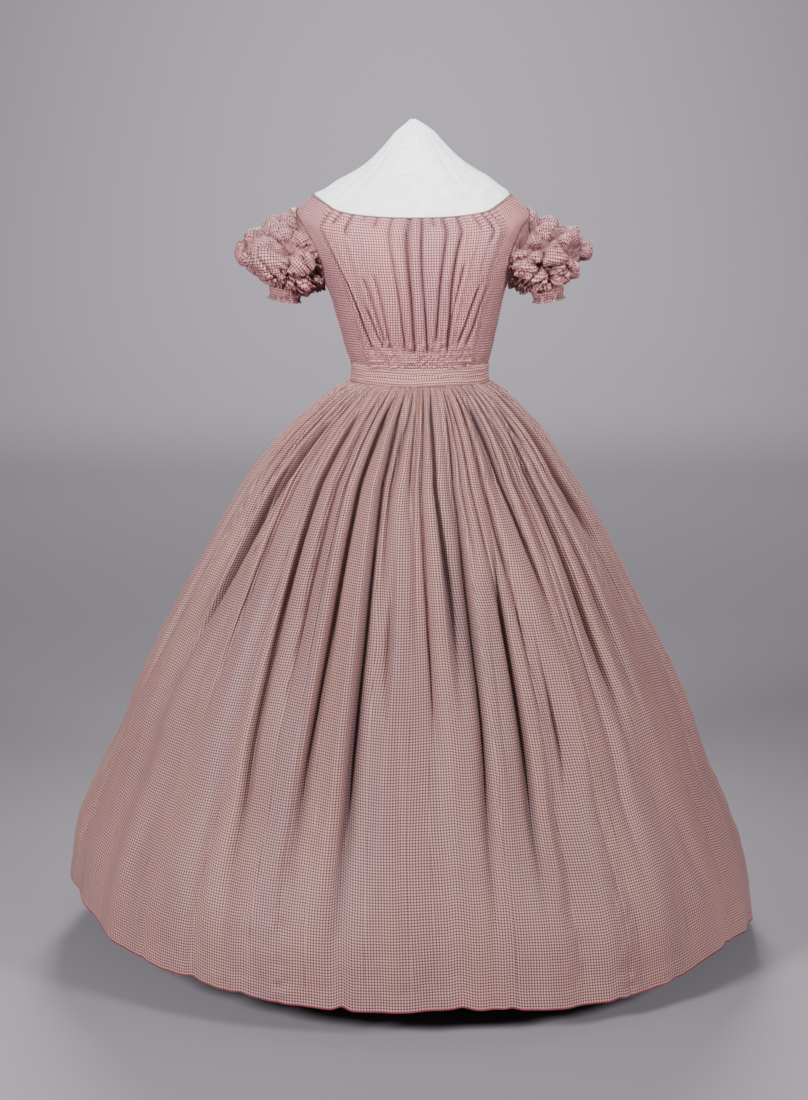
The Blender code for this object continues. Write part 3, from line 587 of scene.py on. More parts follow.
def cloth_mesh(name, points, corners, creased=None):
    """Mesh of a grid of points with its cloth coordinates in metres; creased says from 0
    to 1 how deep in a crease each point lies, and so how much painted shade darkens it."""
    rows, columns = points.shape[:2]
    index = np.arange(rows * columns).reshape(rows, columns)
    faces = np.stack(
        [index[:-1, :-1], index[:-1, 1:], index[1:, 1:], index[1:, :-1]], axis=-1
    ).reshape(-1, 4)
    mesh = bpy.data.meshes.new(name)
    mesh.from_pydata(points.reshape(-1, 3).tolist(), [], faces.tolist())
    layer = mesh.uv_layers.new(name="cloth")
    layer.uv.foreach_set("vector", np.ascontiguousarray(corners, dtype=np.float32).ravel())
    if creased is not None:
        kept = mesh.attributes.new("creased", "FLOAT", "POINT")
        kept.data.foreach_set("value", np.clip(creased, 0, 1).astype(np.float32).ravel())
    mesh.shade_smooth()
    return mesh


def upended(points, corners, creased):
    """The same sheet with its rows counted from the other end, so that it faces out."""
    return points[::-1], corners[::-1][:, :, [3, 2, 1, 0]], creased[::-1]


def add_object(name, data):
    made = bpy.data.objects.new(name, data)
    bpy.context.scene.collection.objects.link(made)
    return made


def add_piece(name, mesh, material, slot, *nodes):
    mesh.materials.append(material)
    piece = add_object(name, mesh)
    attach(piece, "root")
    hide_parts(*nodes)
    return piece


def cloth_piece(
    node, points, corners, material, creased=None, slot="checked_cloth"
):
    """A sheet of the dress that stands for the node of the same name."""
    mesh = cloth_mesh(node, points, corners, creased)
    piece = add_piece(f"{node}_cloth", mesh, material, slot, node)


def tube(name, path, half_height, half_depth, sides, material, slot, node):
    """Closed ring of a small oval section along a level path."""
    out = level_out(path)
    loops = []
    for k in range(sides + 1):
        turn = 2 * math.pi * k / sides
        ring = path + out * half_depth * math.cos(turn)
        loops.append(ring + np.asarray([0, 0, half_height * math.sin(turn)]))
    grid = closed_round(np.stack(loops))
    run = arc_length(grid, 1)
    share = np.linspace(0, 2 * math.pi * half_height, sides + 1)[:, None] + 0 * run
    add_piece(name, cloth_mesh(name, grid, corner_values(run, share)), material, slot, node)


# Skirt

def hem_height(angle):
    height = curve_through(turned(angle), HEM_ROWS)
    for middle, rise, half_width in HEM_NOTCHES:
        height = height + rise * bump(turned(angle - middle) / half_width)
    return height + 0.0012 * ring_noise(angle, 150, 0.5, 11)


def skirt_height(angle, level):
    """Height of a ring that is drawn at level, pulled up or down towards the hem."""
    drop = (SKIRT_ROWS[0][0] - level) / (SKIRT_ROWS[0][0] - HEM_HEIGHT)
    return level + (hem_height(angle) - HEM_HEIGHT) * drop**2


def valley(aside, sharp):
    """Cross section of a fold: a narrow crease in a soft hollow between raised lips."""
    a = np.abs(aside)
    crease = 0.72 * np.exp(-((a / sharp) ** 1.4))
    return crease + 0.28 * bump(a / 1.2) - 0.15 * bump((a - 2.0) / 0.7)


def fold_lines(angle, level):
    """How far the folds of the table draw the skirt in and lean it sideways."""
    inward = np.zeros(np.broadcast(angle, level).shape)
    sideways = np.zeros_like(inward)
    sharp = curve_through(level, CREASE_WIDTHS)
    for top_angle, low_angle, top, low, depth, half_width, lean in FOLDS:
        along = (top - level) / (top - low)
        middle = top_angle + (low_angle - top_angle) * np.clip(along, 0, 1)
        # A fold that starts lower down swells up more slowly; each fades from half way on
        start = 0.07 + 0.8 * max(0.0, 0.90 - top)
        fade = smooth_step((top - level) / start) * smooth_step((1.25 - along) * 1.6)
        push = LEAN * lean * half_width * fade
        aside = turned(angle - middle + push) / half_width
        inward += DEEPER * depth * fade * valley(aside, sharp)
        sideways += push * bump(aside)
    return inward, sideways


def pipe_folds(angle, level, radius):
    """Uneven organ-pipe folds that spring from the waist and die out down the skirt; those
    at the sides open a little towards the front or the back."""
    dice = np.random.default_rng(7)
    inward = np.zeros(np.broadcast(angle, level).shape)
    sideways = np.zeros_like(inward)
    for k in range(PIPES):
        middle = 360 / PIPES * (k + dice.uniform(-PIPE_STRAY, PIPE_STRAY)) - 180
        drift = dice.uniform(-1.0, 1.0)
        end = dice.choice(PIPE_ENDS, p=[0.2] * 5)
        depth = dice.uniform(*PIPE_DEPTHS)
        half_width = dice.uniform(*PIPE_HALF_WIDTHS)
        along = np.clip((WAIST_LOW - level) / (WAIST_LOW - end), 0, 1.4)
        fade = smooth_step((1.4 - along) * 1.8)
        wide = np.degrees(half_width / radius)
        push = PIPE_LEAN * math.sin(math.radians(middle)) * wide * fade
        aside = turned(angle - middle - drift * along + push) / wide
        inward += depth * fade * np.exp(-(np.abs(aside) ** 1.2))
        sideways += push * bump(aside)
    return inward, sideways


def skirt_waves(angle, level, radius):
    """Stitched gathers with broad folds, pipes, and how the pipes lean."""
    stitched, pipes, broad = curves_through(level, WAVE_ROWS)
    piped, sideways = pipe_folds(angle, level, radius)
    a = np.radians(angle)
    uneven = 1 + 0.35 * np.sin(5 * a + 0.8) + 0.2 * np.sin(11 * a + 2.0)
    ruck = 1 + 0.6 * ring_noise(angle, 96, level * 90, 3)
    tiny = (1 - np.cos(STITCHED_GATHERS * a)) * ruck
    soft = 1 - np.cos(broad_phase(angle))
    inward = stitched * tiny + broad * soft * uneven
    return inward, pipes * piped, np.clip(pipes, 0, 1) * sideways


def broad_phase(angle):
    """Turns of the broad folds up to an angle, in radians."""
    a = np.radians(angle)
    return BROAD_FOLDS * a + 1.1 * np.sin(3 * a + 0.7) + 0.7 * np.sin(7 * a + 2.1)


def crumples(angle, level, radius):
    """Slight unevenness of the cloth: long streaks, small crumples, puckered seams."""
    streaks = 0.0011 * ring_noise(angle, 90, level * 3.1, 21)
    streaks = streaks + 0.0006 * ring_noise(angle, 190, level * 6.3, 22)
    patches = smooth_step(0.5 + 1.2 * ring_noise(angle, 24, level * 7, 23))
    low = smooth_step((0.30 - level) / 0.25)
    small = ring_noise(angle, 170, level * 52, 24)
    small = small + 0.5 * ring_noise(angle, 340, level * 100, 25)
    total = streaks + small * (0.00015 + 0.0007 * low * patches)
    for column in SEAM_COLUMNS[:-1]:
        aside = np.radians(turned(angle - column * 360 / SEAM_TURN)) * radius
        strength = 0.0005 + 0.0016 * smooth_step((0.36 - level) / 0.2)
        pucker = soft_noise(aside * 70 + 40, level * 95, 26 + column % 7)
        total = total + strength * pucker * bump(aside / 0.017) - 0.0014 * bump(aside / 0.0035)
    return total


def skirt_skin():
    """Points of the whole skirt, hem to waist, its plain form without folds, the angles
    and how deep in a crease each point lies."""
    spans = [np.linspace(low, high, rows, endpoint=False) for low, high, rows in SKIRT_STEPS]
    level = np.concatenate([*spans, [SKIRT_ROWS[0][0]]])[:, None]
    angle = np.arange(SKIRT_COLUMNS)[None, :] * 360.0 / SKIRT_COLUMNS
    angle = angle + 0 * level
    width, front, back = curves_through(level, SKIRT_ROWS)
    deep, lean = fold_lines(angle, level)
    waves, piped, more_lean = skirt_waves(angle, level, width)
    folded = deep + piped
    # painted shade: the deeper the folds draw the cloth in, the darker it is drawn
    creased = smooth_step((folded - CREASED_FROM) / CREASED_SPAN)
    drawn_in = folded + waves
    for middle, height, half_width, half_height, depth in DENTS:
        aside = turned(angle - middle) / half_width
        drawn_in += depth * bump(aside) * bump((level - height) / half_height)
    drawn_in -= crumples(angle, level, width)
    drawn_in -= HEM_PROUD * smooth_step((HEM_FOLD - (level - HEM_HEIGHT)) / 0.002)
    z = skirt_height(angle, level)

    def ring(where, less):
        return ring_points(where, width - less, front - less, back - less, z)

    skin = ring(angle + lean + more_lean, drawn_in)
    return skin, ring(angle, 0.0), angle, creased


def skirt_coordinates(skin, plain, angle):
    """Cloth coordinates of every face corner: true to scale on the folds, with the hidden
    width of cloth left in the valleys between them."""
    run = arc_length(closed_round(skin), 1)
    phase = broad_phase(angle[0]) / (2 * math.pi)
    ridge = np.rint(phase).astype(int)
    middle = {k: int(np.argmin(np.abs(phase - k))) for k in np.unique(ridge)}
    centre = np.asarray([middle[k] for k in ridge])
    across = np.stack([run[:, :-1], run[:, 1:], run[:, 1:], run[:, :-1]], axis=-1)
    across = across - run[:, centre][..., None] + run[0, centre][None, :, None]
    across[:-1, :, 2:] = across[1:, :, 2:]
    upward = arc_length(plain, 0)
    upward = closed_round(upward / upward[-1:] * upward[-1].mean())
    v = corner_values(run, upward)[..., 1]
    return np.stack([across[:-1], v], axis=-1)


def skirt(material):
    names = ("left_front", "front", "right_front", "right_back", "back", "left_back", "left_side")
    skin, plain, angle, creased = skirt_skin()
    corners = skirt_coordinates(skin, plain, angle)
    step = SKIRT_COLUMNS // SEAM_TURN
    for name, first, last in zip(names, SEAM_COLUMNS, SEAM_COLUMNS[1:]):
        columns = np.arange(first * step, last * step + 1) % SKIRT_COLUMNS
        cloth_piece(
            f"skirt_{name}", skin[:, columns], corners[:, columns[:-1]], material,
            creased[:, columns],
        )
    return skin[0]


def hem_braid(edge, material):
    """Narrow woven braid that edges the hem."""
    edge = edge[::3]
    path = edge - level_out(edge) * BRAID_INSET - [0, 0, TRIM_BEYOND]
    tube("hem_braid_trim", path, *BRAID_SECTION, 6, material, "crimson_braid", "hem_braid")


# Bodice

def bodice_point(angle, level):
    """Point of the bodice's plain surface."""
    angle, level = np.broadcast_arrays(np.asarray(angle, float), np.asarray(level, float))
    table = [(k, *row) for k, row in enumerate(BODICE_ROWS)]
    side, front_z, back_z, width, front, back = (
        curve_through(level, table, k) for k in range(1, 7)
    )
    around = np.abs(turned(angle))
    from_front = curve_through(around, NECK_RISE)
    from_back = curve_through(180 - around, NECK_RISE)
    z = np.where(
        around < 90,
        front_z + (side - front_z) * from_front,
        back_z + (side - back_z) * from_back,
    )
    return ring_points(angle, width, front, back, z)


def bodice_normal(angle, level):
    step_angle, step_level = 0.5, 0.02
    low = np.clip(np.asarray(level, float) - step_level, 0, NECK_LEVEL)
    high = np.clip(np.asarray(level, float) + step_level, 0, NECK_LEVEL)
    across = bodice_point(angle + step_angle, level) - bodice_point(angle - step_angle, level)
    along = bodice_point(angle, high) - bodice_point(angle, low)
    return unit(np.cross(across, along))


def bodice_grid(start, end, rows, columns):
    """Angles and levels of a piece between two edges, and its share from edge to edge."""
    level = np.linspace(0, NECK_LEVEL, rows)[:, None]
    share = np.linspace(0, 1, columns)[None, :]
    first, last = straight_through(level, start), straight_through(level, end)
    angle = first + (last - first) * share
    return angle, level + 0 * angle, share + 0 * angle


def cloth_slant(points, twist=0.0):
    """Cloth coordinates of a piece of the bodice, turned by an angle on its middle line."""
    middle = points.shape[1] // 2
    run = arc_length(points, 1)
    u = run - run[:, middle : middle + 1]
    v = arc_length(points[:, middle : middle + 1], 0) + 0 * u
    return corner_values(*twisted(u, v, twist))


def front_relief(angle, level, share):
    """Folds, neck gathers and shirring of the bodice front, as height above its form, and
    how deep in a crease each point lies."""
    total = np.zeros_like(angle)
    for neck, bust, low, top, bottom, depth, half_width in FRONT_FOLDS:
        nearer = 0.55 * low + 0.45 * bust
        path = ((1.6, low), (3.2, nearer), (6.0, bust), (NECK_LEVEL, neck))   # level, angle
        middle = curve_through(level, path)
        ends = smooth_step((top - level) / 0.7) * smooth_step((level - bottom) / 0.8)
        ends = ends * (1 - 0.3 * smooth_step((level - 11.0) / 1.0))
        aside = (angle - middle) / half_width
        total -= FRONT_DEEPER * depth * ends * valley(aside, 0.50)
    # painted shade: the deeper the front folds, the darker the cloth is drawn
    creased = smooth_step((-total - 0.0012) / 0.0055)
    edge = smooth_step(np.minimum(share, 1 - share) * 14)
    long = 0.0011 * soft_noise(share * 30, level * 0.45, 31)
    long = long + 0.0005 * soft_noise(share * 92, level * 0.9, 32, 128)
    neck = smooth_step((level - 10.6) / 1.2) * 0.0008 * soft_noise(share * 70, level * 0.8, 33, 128)
    total += long + neck
    shirr = smooth_step((2.7 - level) / 1.2)
    drawn = np.ones_like(level)
    for thread in SHIRRED_LEVELS:
        drawn = drawn - 0.75 * bump((level - thread) / 0.13)
    ruck = soft_noise(share * 52 + 0.6 * np.sin(level * 5), level * 2.4, 34)
    ruck = ruck + 0.55 * soft_noise(share * 104, level * 4.3, 35, 128)
    total += shirr * edge * (0.0026 * ruck * drawn - 0.0012 * (1 - drawn))
    room = straight_through(level, FORM_INSETS) - 0.0008
    return np.maximum(edge * (FRONT_FULLNESS + total), -room), creased


def plain_relief(angle, level, seed):
    """Slight unevenness of a smooth piece of the bodice."""
    soft = 0.0007 * soft_noise(angle * 0.22 + 300, level * 0.8, seed)
    return soft + 0.0003 * soft_noise(angle * 0.7 + 300, level * 2.6, seed + 1, 128)


def lay_on(angle, level, relief):
    return bodice_point(angle, level) + bodice_normal(angle, level) * relief[..., None]


def bodice(material):
    angle, level, share = bodice_grid(LEFT_SEAM, FRONT_SEAM, 180, 330)
    relief, creased = front_relief(angle, level, share)
    points = lay_on(angle, level, relief)
    corners = cloth_slant(points)
    cloth_piece("bodice_front", points, corners, material, creased)

    pieces = (
        # piece, first edge, second edge, twist of the check, seed; the left one mirrors it
        ("bodice_side", FRONT_SEAM, SIDE_EDGE, 4.0, 41),
        ("bodice_back", BACK_EDGE, CENTRE_BACK, 0.0, 45),
    )
    for cut, first, second, twist, seed in pieces:
        angle, level, _ = bodice_grid(first, second, 100, 60)
        for side in ("right", "left"):
            points = lay_on(angle, level, plain_relief(angle, level, seed))
            corners = cloth_slant(points, twist)
            cloth_piece(
                f"{cut}_{side}", points, corners, material
            )
            angle, twist, seed = -angle[:, ::-1], -twist, seed + 2


def neck_binding(material):
    angle = np.linspace(0, 360, 240, endpoint=False)
    edge = bodice_point(angle, NECK_LEVEL)
    proud = TRIM_BEYOND - WALL + REST_GAP / 2
    path = edge + level_out(edge) * proud + [0, 0, SEAM_GAP + TRIM_BEYOND]
    tube("neck_binding_cord", path, *CORD_SECTION, 8, material, "piping", "neck_binding")


# Waistband

def waistband(material):
    """Band with soft horizontal folds; its outer end laps over the hidden one."""
    angle = np.linspace(BAND_START, BAND_START + 360 + BAND_LAP, 460)[None, :]
    share = np.linspace(0, 1, 40)[:, None]
    wander = ring_noise(angle, 14, 0.5, 52) + 0.5 * soft_noise(angle / 9, 0.5, 53)
    inside = 4 * share * (1 - share)
    drift = curve_through(share, BAND_FOLDS, 2) * wander * inside
    line = np.clip(share + BAND_WANDER * drift, 0, 1)
    proud = BAND_PROUD * curve_through(line, BAND_FOLDS)
    proud = proud + 0.0007 * soft_noise(angle / 360 * 44, share * 3.4, 51) * inside
    lapped = smooth_step((angle - BAND_START - 330) / 30)
    out = proud + BAND_LIFT * lapped
    _, _, _, width, front, back = BODICE_ROWS[0]
    z = WAIST_LOW + (WAIST_HIGH - WAIST_LOW) * share
    shift = side_shift(BODICE_ROWS[0][0])
    points = ring_points(angle, width + out, front + out, back + out, z, shift)
    off_grain = 0.0016 * soft_noise(angle / 13, share * 1.5, 54) + 0.0005 * wander
    across = 0.0012 * soft_noise(angle / 7, share * 4, 55)
    corners = corner_values(arc_length(points, 1) + across, arc_length(points, 0) + off_grain)
    cloth_piece(
        "waistband", points, corners, material, slot="checked_band"
    )


# Sleeves

def armhole(columns):
    """Angles and levels of the armhole at +X, from its lowest point over the front."""
    fore = [row for row in SIDE_EDGE if ARMHOLE_LEVELS[0] <= row[0] <= ARMHOLE_LEVELS[1]]
    rear = [row for row in BACK_EDGE if ARMHOLE_LEVELS[0] <= row[0] < ARMHOLE_LEVELS[1]]
    outline = fore + rear[::-1][:-1]
    level = np.asarray([row[0] for row in outline] + [outline[0][0]])
    angle = np.asarray([row[1] for row in outline] + [outline[0][1]])
    points = bodice_point(angle, level)
    run = np.concatenate([[0], np.cumsum(np.linalg.norm(np.diff(points, axis=0), axis=1))])
    at = np.linspace(0, run[-1], columns, endpoint=False)
    return np.interp(at, run, angle), np.interp(at, run, level)


def sleeve_form():
    """Plain form of the sleeve at +X: rows from armhole to band, columns round it."""
    angle, level = armhole(SLEEVE_COLUMNS)
    edge = bodice_point(angle, level)
    normal = bodice_normal(angle, level)
    aside = unit(edge - edge.mean(axis=0))
    aside = unit(aside - normal * np.sum(aside * normal, axis=1, keepdims=True))
    first = edge + normal * WALL + aside * (2 * WALL)
    first[:, 0] -= side_shift(first[:, 2])
    turn = 2 * np.pi * np.arange(SLEEVE_COLUMNS) / SLEEVE_COLUMNS
    rings = [first]
    for inner_x, inner_z, outer_x, outer_z, depth in SLEEVE_ROWS:
        centre = np.asarray([(inner_x + outer_x) / 2, 0.0, (inner_z + outer_z) / 2])
        reach = np.asarray([(outer_x - inner_x) / 2, 0.0, (outer_z - inner_z) / 2])
        ring = centre - np.cos(turn)[:, None] * reach
        ring[:, 1] -= depth * np.sin(turn)
        rings.append(ring)
    row = np.linspace(0, BAND_ROW, SLEEVE_STEPS)
    return smooth_rings(np.stack(rings), row), np.degrees(turn), row


def hidden_puffs(seed, radius):
    """Puffs for the parts of a sleeve that the photograph doesn't show."""
    dice = np.random.default_rng(seed)
    made = []
    for row in (0.7, 2.0, 3.3, 4.6, 5.9):
        for turn in range(190, 392, 34):
            spot = (turn + dice.uniform(-10, 10)) % 360
            at = row + dice.uniform(-0.4, 0.4)
            size = radius * dice.uniform(0.8, 1.2)
            made.append((spot, at, size, 0.4 * size, dice.uniform(-50, 50)))
    return made


def rumpled(grid, turns, rows, puffs):
    """Height of the puffs over the plain form, with a crease wherever two of them meet,
    the cloth coordinates of every face corner, each face keeping to one puff, and how
    deep in a crease each point lies."""
    across = unit(np.roll(grid, -1, axis=1) - np.roll(grid, 1, axis=1))
    along = unit(np.gradient(grid, axis=0))
    closed = closed_round(grid)
    best = np.full(grid.shape[:2], -PUFF_GROUND)
    second = best - 0.05
    which = np.full(grid.shape[:2], len(puffs))
    flats = []
    for number, (turn, row, radius, height, twist) in enumerate(puffs):
        column = int(round(turn / 360 * SLEEVE_COLUMNS)) % SLEEVE_COLUMNS
        line = int(np.argmin(np.abs(rows - row)))
        away = closed - grid[line, column]
        reach = np.linalg.norm(away, axis=-1)
        bend = 1 + 0.30 * soft_noise(turns[None, :] / 11, rows[:, None] * 1.9, 70 + number)
        bend = bend + 0.12 * soft_noise(turns[None, :] / 4.5, rows[:, None] * 4.5, 170 + number)
        out = reach[:, :-1] * bend / radius
        dome = height * (1.25 * np.clip(1 - out**2.4, 0, 1) ** 0.7 - 0.25)
        dome = np.where(out < 1, dome, -0.25 * height - 0.02 * (out - 1) * radius)
        higher = dome > best
        second = np.where(higher, best, np.maximum(second, dome))
        best = np.where(higher, dome, best)
        which = np.where(higher, number, which)
        flat = twisted(away @ across[line, column], away @ along[line, column], twist)
        wider = (1 + 0.3 * (reach / radius) ** 2)[..., None]
        flats.append(np.stack(flat, axis=-1) * wider + CHECK_SHIFT * number)
    flats.append(np.stack([arc_length(closed, 1), arc_length(closed, 0)], axis=-1))
    own = which[:-1]
    i, j = np.indices(own.shape)
    spots = ((0, 0), (0, 1), (1, 1), (1, 0))
    corners = np.stack([np.stack(flats)[own, i + down, j + on] for down, on in spots], axis=2)
    crease = np.exp(-(best - second) / 0.0015)
    return best - PUFF_CREASE * crease, corners, crease


def crumpled(turn, row, coarse, seed):
    """Sharp wandering creases between soft swellings, as height over the plain form, and
    how deep in a crease each point lies."""
    sway = 0.8 * soft_noise(turn / 38, row * 0.7, seed)
    total = np.zeros(np.broadcast(turn, row).shape)
    creased = np.zeros_like(total)
    for k, (across, along, depth) in enumerate(CRUMPLE_SIZES):
        place = soft_noise(
            turn / across / coarse + sway + 7 * k, row * along / coarse + 0.8 * sway, seed + 1 + k
        )
        crease = np.exp(-np.abs(place / 0.10))
        total += depth * (1 - bump(place / 0.35) - crease)
        creased = np.maximum(creased, depth / CRUMPLE_SIZES[0][2] * crease)
    return total, creased


def sleeve(side, material):
    """One puff sleeve, rumpled, gathered at the armhole and at its band."""
    sign = 1 if side == "right" else -1
    puff_seed, puff_radius, ray_seed, coarse, crumple_seed = SLEEVE_LOOKS[side]
    grid, turns, rows = sleeve_form()
    outward = -grid_normals(grid, closed=True)
    middle = grid.mean(axis=1, keepdims=True)
    outward *= np.sign(np.sum(outward * (grid - middle)))
    puffs = [*PUFFS[side], *hidden_puffs(puff_seed, puff_radius)]
    relief, corners, creased = rumpled(grid, turns, rows, puffs)
    turn, row = turns[None, :], rows[:, None]
    # Gathers at the armhole and the band
    gathers = np.sin(np.radians(turn * 34)) + 0.5 * np.sin(np.radians(turn * 55 + 40))
    drawn = np.exp(-row / 0.5) + np.exp(-(BAND_ROW - row) / 0.6)
    rays = soft_noise(turn / 6.5, row * 0.5, ray_seed)
    ends = smooth_step(row / 0.35) * smooth_step((BAND_ROW - row) / 0.5)
    crumples_up, more_creased = crumpled(turn, row, coarse, crumple_seed)
    # painted shade: the creases between puffs and of the crumples are drawn darker
    creased = np.maximum(creased, more_creased)
    top = TOP_SETTLE * bump(turned(turn - 172) / 52) * bump(row / 2.6)
    relief = relief + crumples_up - PUFF_SETTLE - top + 0.0010 * rays
    relief = ends * relief + 0.0011 * gathers * drawn
    points = grid + outward * relief[..., None]
    narrower = 1 - CUFF_TAPER * smooth_step((row - CUFF_ROW) / (BAND_ROW - CUFF_ROW))
    points = middle + (points - middle) * narrower[..., None]
    points[..., 0] = sign * points[..., 0] + side_shift(points[..., 2])
    points, creased = closed_round(points), closed_round(creased)
    if sign > 0:
        points, corners, creased = upended(points, corners, creased)
    cloth_piece(
        f"sleeve_{side}", points, corners, material,
        creased,
    )
    return points[0] if sign > 0 else points[-1]


def sleeve_band(side, cuff, material):
    """Narrow band below the puff, a little creased."""
    middle = cuff[:-1].mean(axis=0)
    quarter = (len(cuff) - 1) // 4
    down = unit(np.cross(cuff[quarter] - middle, cuff[0] - middle))
    down = down * -np.sign(down[2])
    spread = unit(cuff - middle)
    share = np.linspace(0, 1, 12)[:, None]
    turn = np.linspace(0, 360, len(cuff))[None, :]
    crease = 0.0024 * ring_noise(turn, 26, share * 3, 91) * (0.3 + 0.7 * share)
    crease = crease + 0.0014 * ring_noise(turn, 60, share * 5, 92)
    crease = crease + 0.0012 * np.sin(share * math.pi * 2.0)
    flare = 0.0012 * share + crease
    points = cuff + down * (SLEEVE_BAND_DEPTH * share)[..., None] + spread * flare[..., None]
    corners = corner_values(arc_length(points, 1), arc_length(points, 0))
    creased = 0.25 - crease / 0.0030   # painted shade: a little darker all over, darker still where a crease goes in
    if side == "right":
        points, corners, creased = upended(points, corners, creased)
    cloth_piece(
        f"sleeve_band_{side}", points, corners, material,
        creased,
    )


# Dress form

def form_cover(material):
    """Limbless form under a white cotton cover with soft creases towards its point."""
    angle = np.linspace(0, 360, 145)
    rings = []
    for height, width, front, back in HIP_ROWS:
        shift = side_shift(BODICE_ROWS[0][0]) * smooth_step((height - FORM_BOTTOM) / 0.2)
        rings.append(ring_points(angle, width, front, back, height, shift))
    for level, inset in FORM_INSETS:
        out = bodice_normal(angle, level)
        if level == 0:
            out[:, 2] = 0.0
        rings.append(bodice_point(angle, level) - out * inset)
    neck_start = len(rings) - 1
    around = np.abs(turned(angle))
    rise = curve_through(90 - np.abs(90 - around), NECK_RISE)
    for side, front_z, width, front, back in NECK_ROWS:
        z = front_z + (side - front_z) * rise
        rings.append(ring_points(angle, width, front, back, z))
    top, fine = len(rings) - 1, 5
    row = np.linspace(0, top, top * fine + 1)
    grid = smooth_rings(np.stack(rings), row)
    along = np.clip((top - row) / (top - neck_start), 0, 1)[:, None]
    relief = np.zeros(grid.shape[:2])
    for top_angle, low_angle, depth, half_width in COVER_CREASES:
        middle = top_angle + (low_angle - top_angle) * along
        aside = turned(angle[None, :] - middle) / half_width
        relief -= depth * smooth_step((1 - along) * 6) * smooth_step(along * 5) * valley(aside, 0.5)
    relief += 0.0005 * soft_noise(angle[None, :] / 12, row[:, None] * 0.5, 95, 30)
    flatter = np.clip(-np.sin(np.radians(angle)), 0, 1) ** 2
    relief -= COVER_FLATTER * flatter[None, :] * np.sin(math.pi * np.clip(along, 0, 1)) ** 0.8
    relief *= smooth_step((row[:, None] - neck_start) / 1.5)
    grid = grid + grid_normals(grid) * relief[..., None]
    caps = [ring.mean(axis=1, keepdims=True) + 0 * ring for ring in (grid[:1], grid[-1:])]
    grid = np.concatenate([caps[0], grid, caps[1]], axis=0)
    corners = corner_values(arc_length(grid, 1), arc_length(grid, 0))
    add_piece(
        "form_cover", cloth_mesh("form_cover", grid, corners), material, "white_cover",
        "form_torso",
    )


# Materials

class Shade:
    """A material's node tree with short names for what is used here."""

    def __init__(self, name):
        self.material = bpy.data.materials.new(name)
        self.material.use_nodes = True
        self.tree = self.material.node_tree
        self.shader = self.tree.nodes["Principled BSDF"]

    def node(self, kind, inputs=(), **settings):
        made = self.tree.nodes.new(kind)
        for key, value in settings.items():
            setattr(made, key, value)
        for key, value in dict(inputs).items():
            self.plug(value, made.inputs[key])
        return made

    def plug(self, value, socket):
        if isinstance(value, bpy.types.NodeSocket):
            self.tree.links.new(value, socket)
        elif isinstance(value, tuple) and len(value) == 3 and socket.type == "RGBA":
            socket.default_value = (*value, 1.0)
        else:
            socket.default_value = value

    def math(self, operation, a, b=0.0):
        return self.node("ShaderNodeMath", {0: a, 1: b}, operation=operation).outputs[0]

    def mix(self, share, a, b, blend="MIX"):
        made = self.node("ShaderNodeMix", data_type="RGBA", blend_type=blend)
        for key, value in ((0, share), (6, a), (7, b)):
            self.plug(value, made.inputs[key])
        return made.outputs[2]

    def times(self, a, b):
        return self.mix(1.0, a, b, "MULTIPLY")

    def between(self, value, low, high, to_low=0.0, to_high=1.0):
        made = self.node(
            "ShaderNodeMapRange",
            {0: value, 1: low, 2: high, 3: to_low, 4: to_high},
            interpolation_type="SMOOTHSTEP",
        )
        return made.outputs[0]

    def noise(self, vector, scale, detail=2.0, rough=0.5):
        made = self.node(
            "ShaderNodeTexNoise",
            {"Vector": vector, "Scale": scale, "Detail": detail, "Roughness": rough},
        )
        return made.outputs["Fac"]

    def finish(self, colour, settings, bump=None, depth=0.0002, strength=0.5):
        self.plug(colour, self.shader.inputs["Base Color"])
        if bump is not None:
            made = self.node(
                "ShaderNodeBump", {"Height": bump, "Distance": depth, "Strength": strength}
            )
            self.plug(made.outputs["Normal"], self.shader.inputs["Normal"])
        for key, value in settings.items():
            self.plug(value, self.shader.inputs[key])
        return self.material


def cloth_axes(shade):
    """The cloth's two directions in metres and the pair as a vector."""
    where = shade.node("ShaderNodeUVMap", uv_map="cloth").outputs[0]
    split = shade.node("ShaderNodeSeparateXYZ", {0: where})
    return split.outputs[0], split.outputs[1], where


def threads(shade, run):
    """Colour of one set of threads: cream, with lines of red brown and grey brown in turn."""
    turn = shade.math("MULTIPLY", run, 2 * math.pi / CHECK_PITCH)
    line = shade.between(shade.math("COSINE", turn), -0.35, 0.45)
    other = shade.between(shade.math("COSINE", shade.math("MULTIPLY", turn, 0.5)), -0.2, 0.2)
    return shade.mix(line, CREAM, shade.mix(other, GREY_BROWN, RED_BROWN)), line


